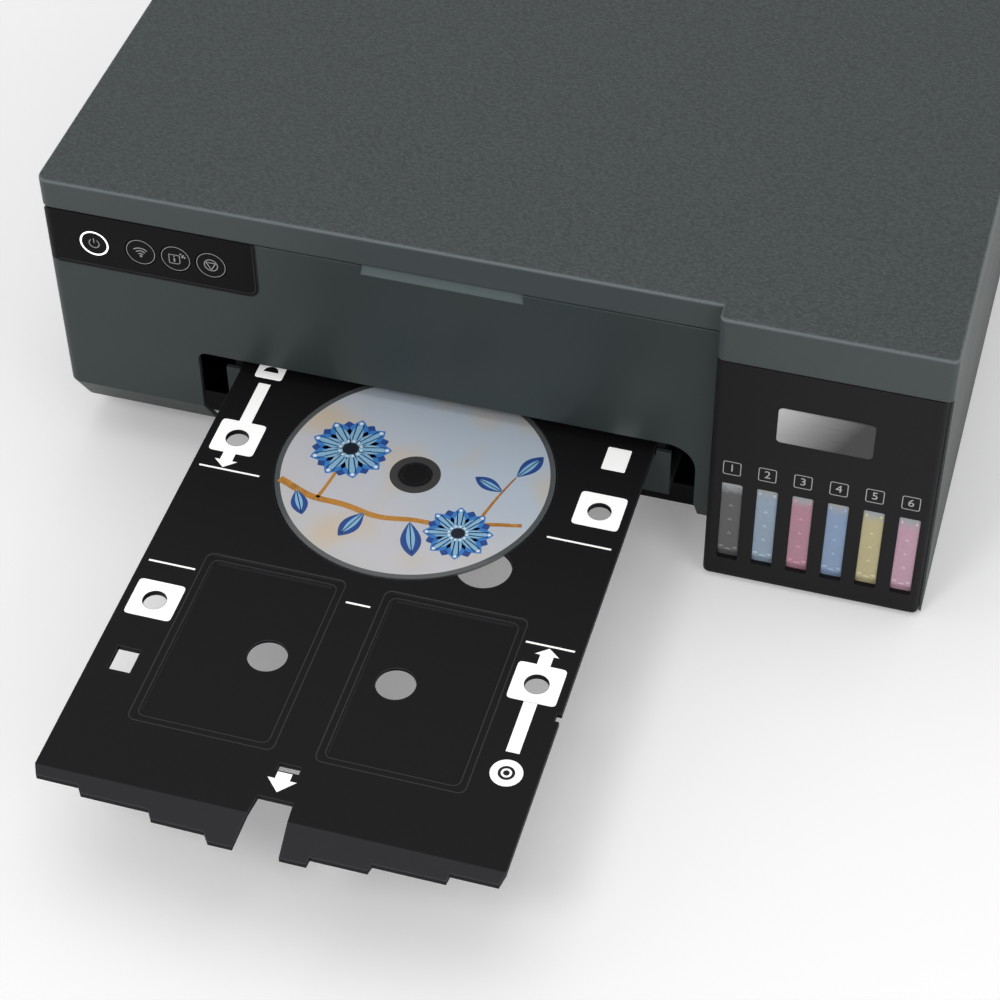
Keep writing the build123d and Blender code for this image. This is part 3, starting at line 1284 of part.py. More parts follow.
cap_station_left_x = carriage_left_x + 6.0
cap_station_right_x = carriage_right_x - 6.0
cap_station_top_z = head_z - 0.4
with BuildPart() as capping_station:
    station_low = (cap_station_left_x, carriage_front_y + 4, base_floor_z)
    box_between(station_low, (cap_station_right_x, carriage_back_y - 4, cap_station_top_z - 8))
    station_cut = (cap_station_left_x + wall, carriage_front_y + 4 + wall, base_floor_z - 1)
    cut_between(station_cut, (cap_station_right_x - wall, carriage_back_y - 4 - wall, cap_station_top_z - 11))
    rim_low = (cap_station_left_x + 8, carriage_front_y + 10, cap_station_top_z - 9)
    box_between(rim_low, (cap_station_right_x - 8, carriage_back_y - 10, cap_station_top_z))
    rim_cut = (cap_station_left_x + 10, carriage_front_y + 12, cap_station_top_z - 5)
    cut_between(rim_cut, (cap_station_right_x - 10, carriage_back_y - 12, cap_station_top_z + 1))
save(capping_station.part, "capping_station")

# ================================================================ electronics
board_x0 = -half_width + base_inset + base_wall + board_inset
board_x1 = board_x0 + mainboard_width
board_y0 = frame_back_y + board_gap
board_z = usb_z - usb_height / 2 - board_wall
chip_places = ((30.0, 22.0, 22.0), (90.0, 17.0, 16.0), (130.0, 27.0, 12.0))  # from the board's corner
chip_height = 1.5
post_radius = 3.0
post_inset = 8.0
half_usb = usb_width / 2 - usb_gap
usb_top_z = usb_z + usb_height / 2 - usb_gap
usb_back_y = rear_y - usb_setback
with BuildPart() as mainboard:
    box_between((board_x0, board_y0, board_z), (board_x1, rear_inner_y - 0.5, board_z + board_wall))
    for post_x in (board_x0 + post_inset, board_x1 - post_inset):
        for post_y in (board_y0 + post_inset, rear_inner_y - 1.5 * post_inset):
            rod_along_z(post_x, post_y, base_floor_z, board_z, post_radius)
    board_top_z = board_z + board_wall
    for from_left, from_front, chip_size in chip_places:
        chip_x = board_x0 + from_left - chip_size / 2
        chip_y = board_y0 + from_front - chip_size / 2
        chip_high = (chip_x + chip_size, chip_y + chip_size, board_top_z + chip_height)
        box_between((chip_x, chip_y, board_top_z), chip_high)
    usb_low = (usb_x - half_usb, usb_back_y - usb_length, board_top_z)
    box_between(usb_low, (usb_x + half_usb, usb_back_y, usb_top_z))
    mouth_low = (usb_x - half_usb + usb_wall, usb_back_y - usb_length / 2, usb_z - half_usb + usb_wall)
    cut_between(mouth_low, (usb_x + half_usb - usb_wall, usb_back_y + 1, usb_top_z - usb_wall))
    tongue_low = (usb_x - usb_wall, usb_back_y - usb_length / 2, usb_z - usb_wall / 2)
    box_between(tongue_low, (usb_x + usb_wall, usb_back_y - 1, usb_z + usb_wall / 2))
save(mainboard.part, "mainboard")

supply_width = 68.0
supply_height = 34.0
supply_leg_offset = 26.0
leg_inset = 6.0
socket_width = 16.0
socket_height = 9.0
socket_depth = 13.0
inlet_gap = 0.15
inlet_setback = 0.8
pin_spacing = 4.3
pin_radius = 1.2
with BuildPart() as power_supply:
    supply_low = (inlet_x - supply_width / 2, board_y0, base_top_z + seam)
    box_between(supply_low, (inlet_x + supply_width / 2, rear_inner_y - 2, base_top_z + supply_height))
    for leg_x in (inlet_x - supply_leg_offset, inlet_x + supply_leg_offset):
        for leg_y in (board_y0 + leg_inset, rear_inner_y - 2 * leg_inset):
            rod_along_z(leg_x, leg_y, base_floor_z, base_top_z + seam, post_radius)
    inlet_back_y = rear_y - inlet_setback
    half_inlet = inlet_width / 2 - inlet_gap
    half_inlet_height = inlet_height / 2 - inlet_gap
    inlet_low = (inlet_x - half_inlet, rear_inner_y - board_gap, inlet_z - half_inlet_height)
    box_between(inlet_low, (inlet_x + half_inlet, inlet_back_y, inlet_z + half_inlet_height))
    with BuildSketch(Plane.XZ.offset(-inlet_back_y - 1)):
        with Locations((inlet_x, inlet_z)):
            SlotOverall(socket_width, socket_height)
    extrude(amount=socket_depth + 1, mode=Mode.SUBTRACT)
    for pin_x in (inlet_x - pin_spacing, inlet_x + pin_spacing):
        rod_along_y(pin_x, inlet_back_y - socket_depth - 1, inlet_back_y - 2, inlet_z, pin_radius)
save(power_supply.part, "power_supply")
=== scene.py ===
"""Looks of a disc label printer: finishes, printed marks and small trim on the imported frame.

Sizes are in millimetres in the frame of the part: X to the right seen from the front,
Y to the back, Z up, with the origin on the table under the middle of the body.
They become metres where a mesh is written.
"""

import logging
import math
from dataclasses import dataclass, field
from enum import Enum

import bmesh
import bpy
import numpy as np
from mathutils import Matrix, Vector

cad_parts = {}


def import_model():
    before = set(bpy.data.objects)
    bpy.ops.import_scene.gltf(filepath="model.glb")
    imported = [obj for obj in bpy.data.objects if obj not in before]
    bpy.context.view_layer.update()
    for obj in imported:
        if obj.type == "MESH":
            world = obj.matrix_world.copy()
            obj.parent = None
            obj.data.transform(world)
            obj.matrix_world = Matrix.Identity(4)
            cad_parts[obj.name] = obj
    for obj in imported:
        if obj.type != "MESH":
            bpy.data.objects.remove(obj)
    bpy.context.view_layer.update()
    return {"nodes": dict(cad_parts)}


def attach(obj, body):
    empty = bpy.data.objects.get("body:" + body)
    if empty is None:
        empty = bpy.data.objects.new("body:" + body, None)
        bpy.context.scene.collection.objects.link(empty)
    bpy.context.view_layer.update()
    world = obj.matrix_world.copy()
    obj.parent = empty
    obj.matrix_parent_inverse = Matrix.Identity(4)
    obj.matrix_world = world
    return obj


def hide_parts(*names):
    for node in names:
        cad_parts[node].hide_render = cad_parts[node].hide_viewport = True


LOG = logging.getLogger("disc_printer")
MM = 0.001
CORNER_POINTS = 6

Array = np.ndarray
Pair = tuple[float, float]
Triple = tuple[float, float, float]
Settings = dict[str | int, object]
Material = bpy.types.Material
Tree = bpy.types.NodeTree
Socket = bpy.types.NodeSocket
Feeds = dict[str | int, Socket]

# Settings of a Mix node that multiplies its colours 6 and 7.
TIMES: Settings = {"data_type": "RGBA", "blend_type": "MULTIPLY", 0: 1.0}


# ---------------------------------------------------------------- small tools


def linear(code: str, alpha: float = 1.0) -> tuple[float, float, float, float]:
    """Turns a screen colour into the linear values that shaders take.

    Args:
        code: six hexadecimal digits with a leading hash.
        alpha: the fourth value.

    Returns:
        Red, green, blue and alpha. Each channel c is c / 12.92 below 0.04045
        and ((c + 0.055) / 1.055) to the power 2.4 above it.
    """
    channels = [int(code[i : i + 2], 16) / 255 for i in (1, 3, 5)]
    out = [c / 12.92 if c <= 0.04045 else ((c + 0.055) / 1.055) ** 2.4 for c in channels]
    return (out[0], out[1], out[2], alpha)


def shade(
    tree: Tree, kind: str, settings: Settings | None = None, feeds: Feeds | None = None
) -> bpy.types.Node:
    """Adds one shader node, sets it and links what feeds it.

    Args:
        tree: the material's node tree.
        kind: the node's type name after ShaderNode.
        settings: socket values by name or index, and node properties by name.
        feeds: the sockets that feed its inputs, by input name or index.

    Returns:
        The new node.
    """
    made = tree.nodes.new("ShaderNode" + kind)
    for name, value in (settings or {}).items():
        if isinstance(name, int) or name in made.inputs:
            made.inputs[name].default_value = value
        else:
            setattr(made, name, value)
    for name, source in (feeds or {}).items():
        tree.links.new(source, made.inputs[name])
    return made


def begun(name: str) -> tuple[Material, Tree, Socket]:
    """Starts a material that holds nothing but the Object coordinates.

    Args:
        name: the material's name.

    Returns:
        The material, its node tree and the socket of the coordinates.
    """
    material = bpy.data.materials.new(name)
    material.use_nodes = True
    tree = material.node_tree
    tree.nodes.clear()
    return material, tree, shade(tree, "TexCoord").outputs["Object"]


def arc(centre: Pair, radius: float, start: float, stop: float, count: int) -> Array:
    """Points of an arc: centre plus radius times (cos, sin) of evenly spaced degrees.

    Args:
        centre: the arc's middle.
        radius: its radius.
        start: first direction in degrees.
        stop: last direction in degrees.
        count: how many points.

    Returns:
        An array of shape (count, 2).
    """
    turn = np.radians(np.linspace(start, stop, count))
    return np.column_stack((centre[0] + radius * np.cos(turn), centre[1] + radius * np.sin(turn)))


def circle(centre: Pair, radius: float, count: int) -> Array:
    """A closed circle as an arc of 360 degrees without its last point.

    Args:
        centre: the circle's middle.
        radius: its radius.
        count: how many points.

    Returns:
        An array of shape (count, 2), anticlockwise.
    """
    return arc(centre, radius, 0, 360, count + 1)[:-1]


def rounded_box(centre: Pair, size: Pair, radius: float) -> Array:
    """Outline of a box with round corners, one quarter arc per corner, counted from the right.

    Args:
        centre: the box's middle.
        size: its width and height.
        radius: the corners' radius.

    Returns:
        An array of shape (24, 2), anticlockwise.
    """
    reach = np.array([size[0] / 2 - radius, size[1] / 2 - radius])
    signs = np.array([[1, 1], [-1, 1], [-1, -1], [1, -1]])
    middles = np.array(centre) + signs * reach
    starts = (0, 90, 180, 270)
    return np.concatenate([arc(tuple(m), radius, s, s + 90, CORNER_POINTS) for m, s in zip(middles, starts)])


def soft_box(centre: Pair, size: Pair, power: float, count: int) -> Array:
    """Outline of a box with soft corners, as a superellipse.

    In each direction (c, s) the distance is (|c / a|^p + |s / b|^p) to the power -1/p,
    where a and b are half the size and p is the power.

    Args:
        centre: the box's middle.
        size: its width and height.
        power: how square it is.
        count: how many points.

    Returns:
        An array of shape (count, 2), anticlockwise.
    """
    turn = np.linspace(0, 2 * np.pi, count, endpoint=False)
    way = np.column_stack((np.cos(turn), np.sin(turn)))
    reach = (np.abs(way / (np.array(size) / 2)) ** power).sum(axis=1) ** (-1 / power)
    return np.array(centre) + way * reach[:, None]


def edges_of_line(path: Array, width: float) -> tuple[Array, Array]:
    """The two edges of a line of even width along a path.

    Each point moves half the width along its normal, which is the direction of the
    path there turned by a right angle.

    Args:
        path: points of shape (n, 2).
        width: the line's width.

    Returns:
        The left and the right edge.
    """
    along = np.gradient(path, axis=0)
    along /= np.linalg.norm(along, axis=1, keepdims=True)
    normal = np.column_stack((-along[:, 1], along[:, 0]))
    return path + normal * width / 2, path - normal * width / 2


@dataclass(frozen=True)
class Wall:
    """A flat face of the printer that carries marks."""

    origin: Triple
    across: Triple
    upward: Triple
    outward: Triple

    def place(self, flat: Array, lift: float) -> Array:
        """Puts flat points on the wall: origin + x across + y upward + lift outward.

        Args:
            flat: points of shape (n, 2).
            lift: height above the wall.

        Returns:
            Points of shape (n, 3) in millimetres.
        """
        basis = np.array([self.across, self.upward])
        return np.array(self.origin) + flat @ basis + lift * np.array(self.outward)


TRAY_TOP = Wall((0, 0, 60.0), (1, 0, 0), (0, 1, 0), (0, 0, 1))
BODY_FRONT = Wall((0, -176.0, 0), (1, 0, 0), (0, 0, 1), (0, -1, 0))
TANK_FRONT = Wall((0, -184.5, 0), (1, 0, 0), (0, 0, 1), (0, -1, 0))
TANK_NOSE = Wall((0, -183.8, 0), (1, 0, 0), (0, 0, 1), (0, -1, 0))
SOCKET_FACE = Wall((0, 183.9, 0), (1, 0, 0), (0, 0, 1), (0, 1, 0))
DISC_TOP = Wall((0, 0, 60.4), (1, 0, 0), (0, 1, 0), (0, 0, 1))


@dataclass
class Stock:
    """Points and faces of one piece while it is being made."""

    points: list[Array] = field(default_factory=list)
    faces: list[Array] = field(default_factory=list)
    outlines: list[list[int]] = field(default_factory=list)
    count: int = 0

    def add(self, points: Array, faces: Array) -> None:
        """Adds points and the quads between them.

        Args:
            points: shape (n, 3), in millimetres.
            faces: shape (m, 4), numbers of the new points.
        """
        self.points.append(points)
        self.faces.append(faces + self.count)
        self.count += len(points)

    def slab(self, outline: Array, wall: Wall, low: float, high: float) -> None:
        """A flat plate: the outline at two heights, closed by its two faces and a rim.

        Args:
            outline: anticlockwise points of shape (n, 2).
            wall: the face it lies on.
            low: lower height above the wall.
            high: upper height.
        """
        n = len(outline)
        here = np.arange(n)
        after = (here + 1) % n
        rim = np.column_stack((here, after, after + n, here + n))
        self.outlines.append(list(self.count + here[::-1]))
        self.outlines.append(list(self.count + n + here))
        self.add(np.concatenate((wall.place(outline, low), wall.place(outline, high))), rim)

    def band(
        self, left: Array, right: Array, wall: Wall, low: float, high: float, closed: bool = False
    ) -> None:
        """A flat strip between two edges, with the height of a slab.

        Its section has four corners, left low, right low, right high and left high,
        and each corner's row of points runs along the strip.

        Args:
            left: left edge, shape (n, 2).
            right: right edge, shape (n, 2).
            wall: the face it lies on.
            low: lower height above the wall.
            high: upper height.
            closed: whether its ends meet.
        """
        n = len(left)
        corners = ((left, low), (right, low), (right, high), (left, high))
        rows = [wall.place(edge, lift) for edge, lift in corners]
        here = np.arange(n if closed else n - 1)
        after = (here + 1) % n
        sides = [np.column_stack((r * n + here, r * n + after, s * n + after, s * n + here))
                 for r, s in ((0, 1), (1, 2), (2, 3), (3, 0))]
        faces = np.concatenate(sides)
        if not closed:
            start = np.array([[0, n, 2 * n, 3 * n]])
            stop = np.array([[n - 1, 4 * n - 1, 3 * n - 1, 2 * n - 1]])
            faces = np.concatenate((faces, start, stop))
        self.add(np.concatenate(rows), faces)

    def line(self, path: Array, width: float, wall: Wall, low: float, high: float) -> None:
        """A strip of even width along an open path.

        Args:
            path: points of shape (n, 2).
            width: the strip's width.
            wall: the face it lies on.
            low: lower height above the wall.
            high: upper height.
        """
        left, right = edges_of_line(path, width)
        self.band(left, right, wall, low, high)

    def dome(self, centre: Pair, size: Pair, rise: float, wall: Wall) -> None:
        """A low bump: rise times cos(v) over an ellipse of size times sin(v), v from 0 to 90 degrees.

        Args:
            centre: the bump's middle on the wall.
            size: its half width and half height.
            rise: how far it stands out.
            wall: the face it lies on.
        """
        around, rings, last = 12, 4, 0.12
        turn = np.linspace(0, 2 * np.pi, around, endpoint=False)
        fall = np.linspace(np.pi / 2, last, rings)
        u, v = np.meshgrid(turn, fall)
        flat = np.column_stack(((centre[0] + size[0] * np.sin(v) * np.cos(u)).ravel(),
                                (centre[1] + size[1] * np.sin(v) * np.sin(u)).ravel()))
        points = wall.place(flat, 0.0) + np.outer((rise * np.cos(v)).ravel(), wall.outward)
        row, column = np.meshgrid(np.arange(rings - 1), np.arange(around), indexing="ij")
        a = (row * around + column).ravel()
        b = (row * around + (column + 1) % around).ravel()
        self.outlines.append(list(self.count + (rings - 1) * around + np.arange(around)))
        self.outlines.append(list(self.count + np.arange(around)[::-1]))
        self.add(points, np.column_stack((a, b, b + around, a + around)))

    def finish(self, name: str, material: Material, body: str, slot: str) -> bpy.types.Object:
        """Makes the piece an object that rides on a body.

        Args:
            name: the object's name.
            material: its finish.
            body: the body that it moves with.
            slot: not used.

        Returns:
            The finished object, at the origin with its place in its mesh.
        """
        points = np.concatenate(self.points) * MM
        quads = np.concatenate(self.faces).tolist()
        mesh = bpy.data.meshes.new(name)
        mesh.from_pydata(points.tolist(), [], quads + [[int(i) for i in o] for o in self.outlines])
        mesh.validate()
        return finished(name, mesh, material, body)


def finished(
    name: str, mesh: bpy.types.Mesh, material: Material, body: str
) -> bpy.types.Object:
    """Links a mesh as an object with flat faces that point outwards, and lets it ride.

    Args:
        name: the object's name.
        mesh: its mesh, in metres, in place.
        material: its finish.
        body: the body that it moves with.

    Returns:
        The object.
    """
    work = bmesh.new()
    work.from_mesh(mesh)
    bmesh.ops.recalc_face_normals(work, faces=work.faces)
    work.to_mesh(mesh)
    work.free()
    mesh.materials.clear()
    mesh.materials.append(material)
    mesh.polygons.foreach_set("use_smooth", np.zeros(len(mesh.polygons), dtype=bool))
    piece = bpy.data.objects.new(name, mesh)
    bpy.context.scene.collection.objects.link(piece)
    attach(piece, body)
    LOG.info("made %s of %s", name, material.name)
    return piece


def written(text: str, height: float, centre: Pair, wall: Wall, lift: float) -> bpy.types.Mesh:
    """A plain sign as a mesh that lies on a wall.

    Args:
        text: the sign.
        height: size of the letters in millimetres.
        centre: the sign's middle on the wall.
        wall: the face it lies on.
        lift: height above the wall.

    Returns:
        A mesh in metres, in place.
    """
    curve = bpy.data.curves.new("sign", "FONT")
    curve.body = text
    curve.size = height
    curve.extrude = 0.02
    curve.align_x = "CENTER"
    curve.align_y = "CENTER"
    curve.resolution_u = 3
    holder = bpy.data.objects.new("sign", curve)
    bpy.context.scene.collection.objects.link(holder)
    bpy.context.view_layer.update()
    mesh = bpy.data.meshes.new_from_object(holder)
    bpy.data.objects.remove(holder)
    flat = np.empty(len(mesh.vertices) * 3)
    mesh.vertices.foreach_get("co", flat)
    flat = flat.reshape(-1, 3)
    placed = wall.place(flat[:, :2] + np.array(centre), lift) + np.outer(flat[:, 2], wall.outward)
    mesh.vertices.foreach_set("co", (placed * MM).ravel())
    mesh.update()
    return mesh


# ---------------------------------------------------------------- finishes


class Grain(Enum):
    """The moulded textures of the printer's plastics."""

    SPARK = "fine spark-eroded grain"
    LEATHER = "short diagonal creases on the upper face"
    SMOOTH = "smooth satin"


# Turn in degrees and stretch of the two sets of creases on the lid.
CREASE_WAYS = ((-38.0, 0.6), (40.0, 0.5))
# Heights in millimetres between which the creases of the lid's upper face begin.
UPPER_FACE = (151.5, 151.9)


@dataclass(frozen=True)
class MouldedPlastic:
    """An opaque moulded plastic with a grain, uneven tone and a painted highlight on edges that slant between
    top and wall.
    """

    name: str
    colour: str
    roughness: float = 0.5
    grain: Grain = Grain.SPARK
    grain_size: float = 0.45
    grain_depth: float = 0.02
    cloud_size: float = 38.46
    tone_spread: float = 0.05
    rough_spread: float = 0.05
    gloss: float = 0.3
    edge: float = 0.5
    # How far the colour is multiplied up on slanted edges, as a painted highlight.
    edge_light: float = 1.5
    edge_from: float = 0.08
    edge_full: float = 0.24

    def build(self) -> Material:
        """Makes the material.

        With z as the upward part of the rounded normal, z (1 - z) is nought on flat tops and
        walls and highest on the slant between them, so it finds the edges that get a painted highlight.

        Returns:
            A material whose pattern follows the Object coordinates.
        """
        material, tree, place = begun(self.name)
        scale = 1.0 / (self.cloud_size * MM)
        cloud = shade(tree, "TexNoise", {"Scale": scale, "Detail": 3.0}, {"Vector": place}).outputs["Fac"]
        dark, light = (
            tuple(min(1.0, c * (1 + spread)) for c in linear(self.colour)[:3]) + (1.0,)
            for spread in (-self.tone_spread, self.tone_spread)
        )
        tone = shade(tree, "Mix", {"data_type": "RGBA", 6: dark, 7: light}, {"Factor": cloud})
        span = {"To Min": self.roughness - self.rough_spread, "To Max": self.roughness + self.rough_spread}
        rough = shade(tree, "MapRange", span, {"Value": cloud})
        height = self.height(tree, place)
        rounded = shade(tree, "Bevel", {"samples": 4, "Radius": self.edge * MM}).outputs["Normal"]
        relief = {"Strength": 1.0, "Distance": self.grain_depth * MM}
        bump = shade(tree, "Bump", relief, {"Height": height, "Normal": rounded})
        # Painted highlight: the colour is multiplied up where the rounded normal slants between up and
        # sideways.
        way = shade(tree, "SeparateXYZ", {}, {"Vector": rounded}).outputs["Z"]
        rest = shade(tree, "Math", {"operation": "SUBTRACT", 0: 1.0}, {1: way}).outputs[0]
        slant = shade(tree, "Math", {"operation": "MULTIPLY"}, {0: way, 1: rest}).outputs[0]
        span = {"From Min": self.edge_from, "From Max": self.edge_full}
        span |= {"To Min": 1.0, "To Max": self.edge_light}
        lift = shade(tree, "MapRange", span, {"Value": slant}).outputs["Result"]
        colour = shade(tree, "Mix", TIMES, {6: tone.outputs[2], 7: lift}).outputs[2]
        if self.grain is Grain.LEATHER:
            # Painted shade and light: the colour is darker in the creases and lighter on the ridges between
            # them.
            span = {"From Min": 0.15, "From Max": 0.55, "To Min": 0.7, "To Max": 1.25}
            crease_shade = shade(tree, "MapRange", span, {"Value": height}).outputs["Result"]
            colour = shade(tree, "Mix", TIMES, {6: colour, 7: crease_shade}).outputs[2]
        shader = shade(
            tree, "BsdfPrincipled", {"IOR": 1.5, "Specular IOR Level": self.gloss},
            {"Base Color": colour, "Roughness": rough.outputs["Result"], "Normal": bump.outputs["Normal"]},
        )
        shade(tree, "OutputMaterial", {}, {"Surface": shader.outputs["BSDF"]})
        return material

    def height(self, tree: Tree, place: Socket) -> Socket:
        """The grain's height: a noise, or creases times a second noise that crosses them.

        Args:
            tree: the node tree.
            place: the Object coordinates.

        Returns:
            The socket that gives the height.
        """
        scale = 1.0 / (self.grain_size * MM)
        if self.grain is not Grain.LEATHER:
            fine = self.grain is Grain.SPARK
            settings = {"Scale": scale if fine else scale / 6, "Detail": 2.0 if fine else 1.0}
            return shade(tree, "TexNoise", settings, {"Vector": place}).outputs["Fac"]
        laid, crossed = (
            shade(tree, "Mapping", {"Rotation": (0, 0, math.radians(turn)), "Scale": (stretch, 1.0, 1.0)},
                  {"Vector": place}).outputs[0]
            for turn, stretch in CREASE_WAYS
        )
        cells = shade(tree, "TexVoronoi", {"Scale": scale}, {"Vector": laid}).outputs["Distance"]
        crease = shade(tree, "MapRange", {"To Min": 1.0, "To Max": 0.1}, {"Value": cells})
        second = shade(tree, "TexNoise", {"Scale": scale * 0.8, "Detail": 1.0}, {"Vector": crossed})
        feeds = {0: crease.outputs["Result"], 1: second.outputs["Fac"]}
        weave = shade(tree, "Math", {"operation": "MULTIPLY"}, feeds)
        # Only the upper face has creases: below it the height is even.
        parts = shade(tree, "SeparateXYZ", {}, {"Vector": place})
        span = {"From Min": UPPER_FACE[0] * MM, "From Max": UPPER_FACE[1] * MM}
        upper = shade(tree, "MapRange", span, {"Value": parts.outputs["Z"]})
        return shade(
            tree, "Mix", {"data_type": "FLOAT", 2: 0.35},
            {"Factor": upper.outputs["Result"], 3: weave.outputs[0]},
        ).outputs[0]


@dataclass(frozen=True)
class PlainFinish:
    """A finish of one colour with a fine unevenness, for print, metal and rubber."""

    name: str
    colour: str
    roughness: float = 0.5
    metal: float = 0.0
    coat: float = 0.0
    glow: float = 0.0
    clear: float = 0.0
    index: float = 1.5
    speck_size: float = 1.2
    speck_depth: float = 0.008
    brushed: bool = False

    def build(self) -> Material:
        """Makes the material.

        Returns:
            A material with a fine noise in its roughness and height.
        """
        material, tree, place = begun(self.name)
        stretch = (0.04, 1.0, 1.0) if self.brushed else (1.0, 1.0, 1.0)
        laid = shade(tree, "Mapping", {"Scale": stretch}, {"Vector": place}).outputs[0]
        scale = 1.0 / (self.speck_size * MM)
        speck = shade(tree, "TexNoise", {"Scale": scale, "Detail": 3.0}, {"Vector": laid}).outputs["Fac"]
        span = {"To Min": max(0.02, self.roughness - 0.06), "To Max": self.roughness + 0.06}
        rough = shade(tree, "MapRange", span, {"Value": speck})
        relief = {"Strength": 0.6, "Distance": self.speck_depth * MM}
        bump = shade(tree, "Bump", relief, {"Height": speck})
        colour = linear(self.colour)
        settings: Settings = {
            "Base Color": colour, "Metallic": self.metal, "Coat Weight": self.coat,
            "Transmission Weight": self.clear, "IOR": self.index,
        }
        if self.glow:
            settings |= {"Emission Color": colour, "Emission Strength": self.glow}
        shader = shade(
            tree, "BsdfPrincipled", settings,
            {"Roughness": rough.outputs["Result"], "Normal": bump.outputs["Normal"]},
        )
        shade(tree, "OutputMaterial", {}, {"Surface": shader.outputs["BSDF"]})
        return material


@dataclass(frozen=True)
class FrostedTank:
    """Frosted plastic of an ink tank, tinted by the ink up to its level."""

    name: str
    ink: str
    empty: str = "#a9adb0"
    level: float = 55.0
    fade: float = 5.0
    wander: float = 4.0
    frost_size: float = 2.381
    roughness: float = 0.42

    def build(self) -> Material:
        """Makes the material.

        Returns:
            A material that turns from the ink's tone to the empty tone across its level.
        """
        material, tree, place = begun(self.name)
        parts = shade(tree, "SeparateXYZ", {}, {"Vector": place})
        scale = 1.0 / (self.frost_size * MM)
        cloud = shade(tree, "TexNoise", {"Scale": scale, "Detail": 4.0}, {"Vector": place}).outputs["Fac"]
        wander = {"operation": "MULTIPLY_ADD", 1: self.wander * MM}
        wavy = shade(tree, "Math", wander, {0: cloud, 2: parts.outputs["Z"]})
        span = {"From Min": self.level * MM, "From Max": (self.level + self.fade) * MM}
        above = shade(tree, "MapRange", span, {"Value": wavy.outputs[0]})
        mixed = shade(
            tree, "Mix", {"data_type": "RGBA", 6: linear(self.ink), 7: linear(self.empty)},
            {"Factor": above.outputs["Result"]},
        )
        mottle = shade(tree, "MapRange", {"To Min": 0.9, "To Max": 1.08}, {"Value": cloud})
        toned = shade(tree, "Mix", TIMES, {6: mixed.outputs[2], 7: mottle.outputs["Result"]})
        bump = shade(tree, "Bump", {"Strength": 0.5, "Distance": 0.02 * MM}, {"Height": cloud})
        settings = {
            "Roughness": self.roughness, "IOR": 1.5,
            "Subsurface Weight": 0.15, "Subsurface Radius": (2 * MM, 2 * MM, 2 * MM),
        }
        shader = shade(
            tree, "BsdfPrincipled", settings,
            {"Base Color": toned.outputs[2], "Normal": bump.outputs["Normal"]},
        )
        shade(tree, "OutputMaterial", {}, {"Surface": shader.outputs["BSDF"]})
        return material


@dataclass(frozen=True)
class BadgeMetal:
    """Brushed silver film of the badge, with a painted reflection: bright at its upper left and dark at its
    lower right.
    """

    name: str = "brushed badge metal"
    bright: str = "#e3e3e3"
    middle: str = "#9b9b9b"
    dark: str = "#4a4a4b"
    left: float = 128.0
    width: float = 41.0
    foot: float = 90.0
    height: float = 19.4
    brush_size: float = 0.3846

    def build(self) -> Material:
        """Makes the material.

        Returns:
            A material whose tone falls along the diagonal of the badge, as a painted reflection.
        """
        material, tree, place = begun(self.name)
        parts = shade(tree, "SeparateXYZ", {}, {"Vector": place})
        span = {"From Min": self.left * MM, "From Max": (self.left + self.width) * MM}
        across = shade(tree, "MapRange", span, {"Value": parts.outputs["X"]})
        span = {"From Min": (self.foot + self.height) * MM, "From Max": self.foot * MM, "To Max": 0.3}
        down = shade(tree, "MapRange", span, {"Value": parts.outputs["Z"]})
        laid = shade(tree, "Mapping", {"Scale": (0.05, 1.0, 1.0)}, {"Vector": place}).outputs[0]
        scale = 1.0 / (self.brush_size * MM)
        streak = shade(tree, "TexNoise", {"Scale": scale, "Detail": 2.0}, {"Vector": laid})
        # Painted reflection: the tone falls from bright to dark across and down the badge.
        feeds = {0: across.outputs["Result"], 1: down.outputs["Result"]}
        slope = shade(tree, "Math", {"operation": "ADD"}, feeds)
        feeds = {0: streak.outputs["Fac"], 2: slope.outputs[0]}
        fall = shade(tree, "Math", {"operation": "MULTIPLY_ADD", 1: 0.12}, feeds)
        ramp = shade(tree, "ValToRGB", {}, {"Fac": fall.outputs[0]})
        stops = ramp.color_ramp.elements
        stops[0].color = linear(self.bright)
        stops[1].color = linear(self.dark)
        stops.new(0.55).color = linear(self.middle)
        shader = shade(
            tree, "BsdfPrincipled", {"Roughness": 0.36, "Metallic": 0.35},
            {"Base Color": ramp.outputs["Color"]},
        )
        shade(tree, "OutputMaterial", {}, {"Surface": shader.outputs["BSDF"]})
        return material


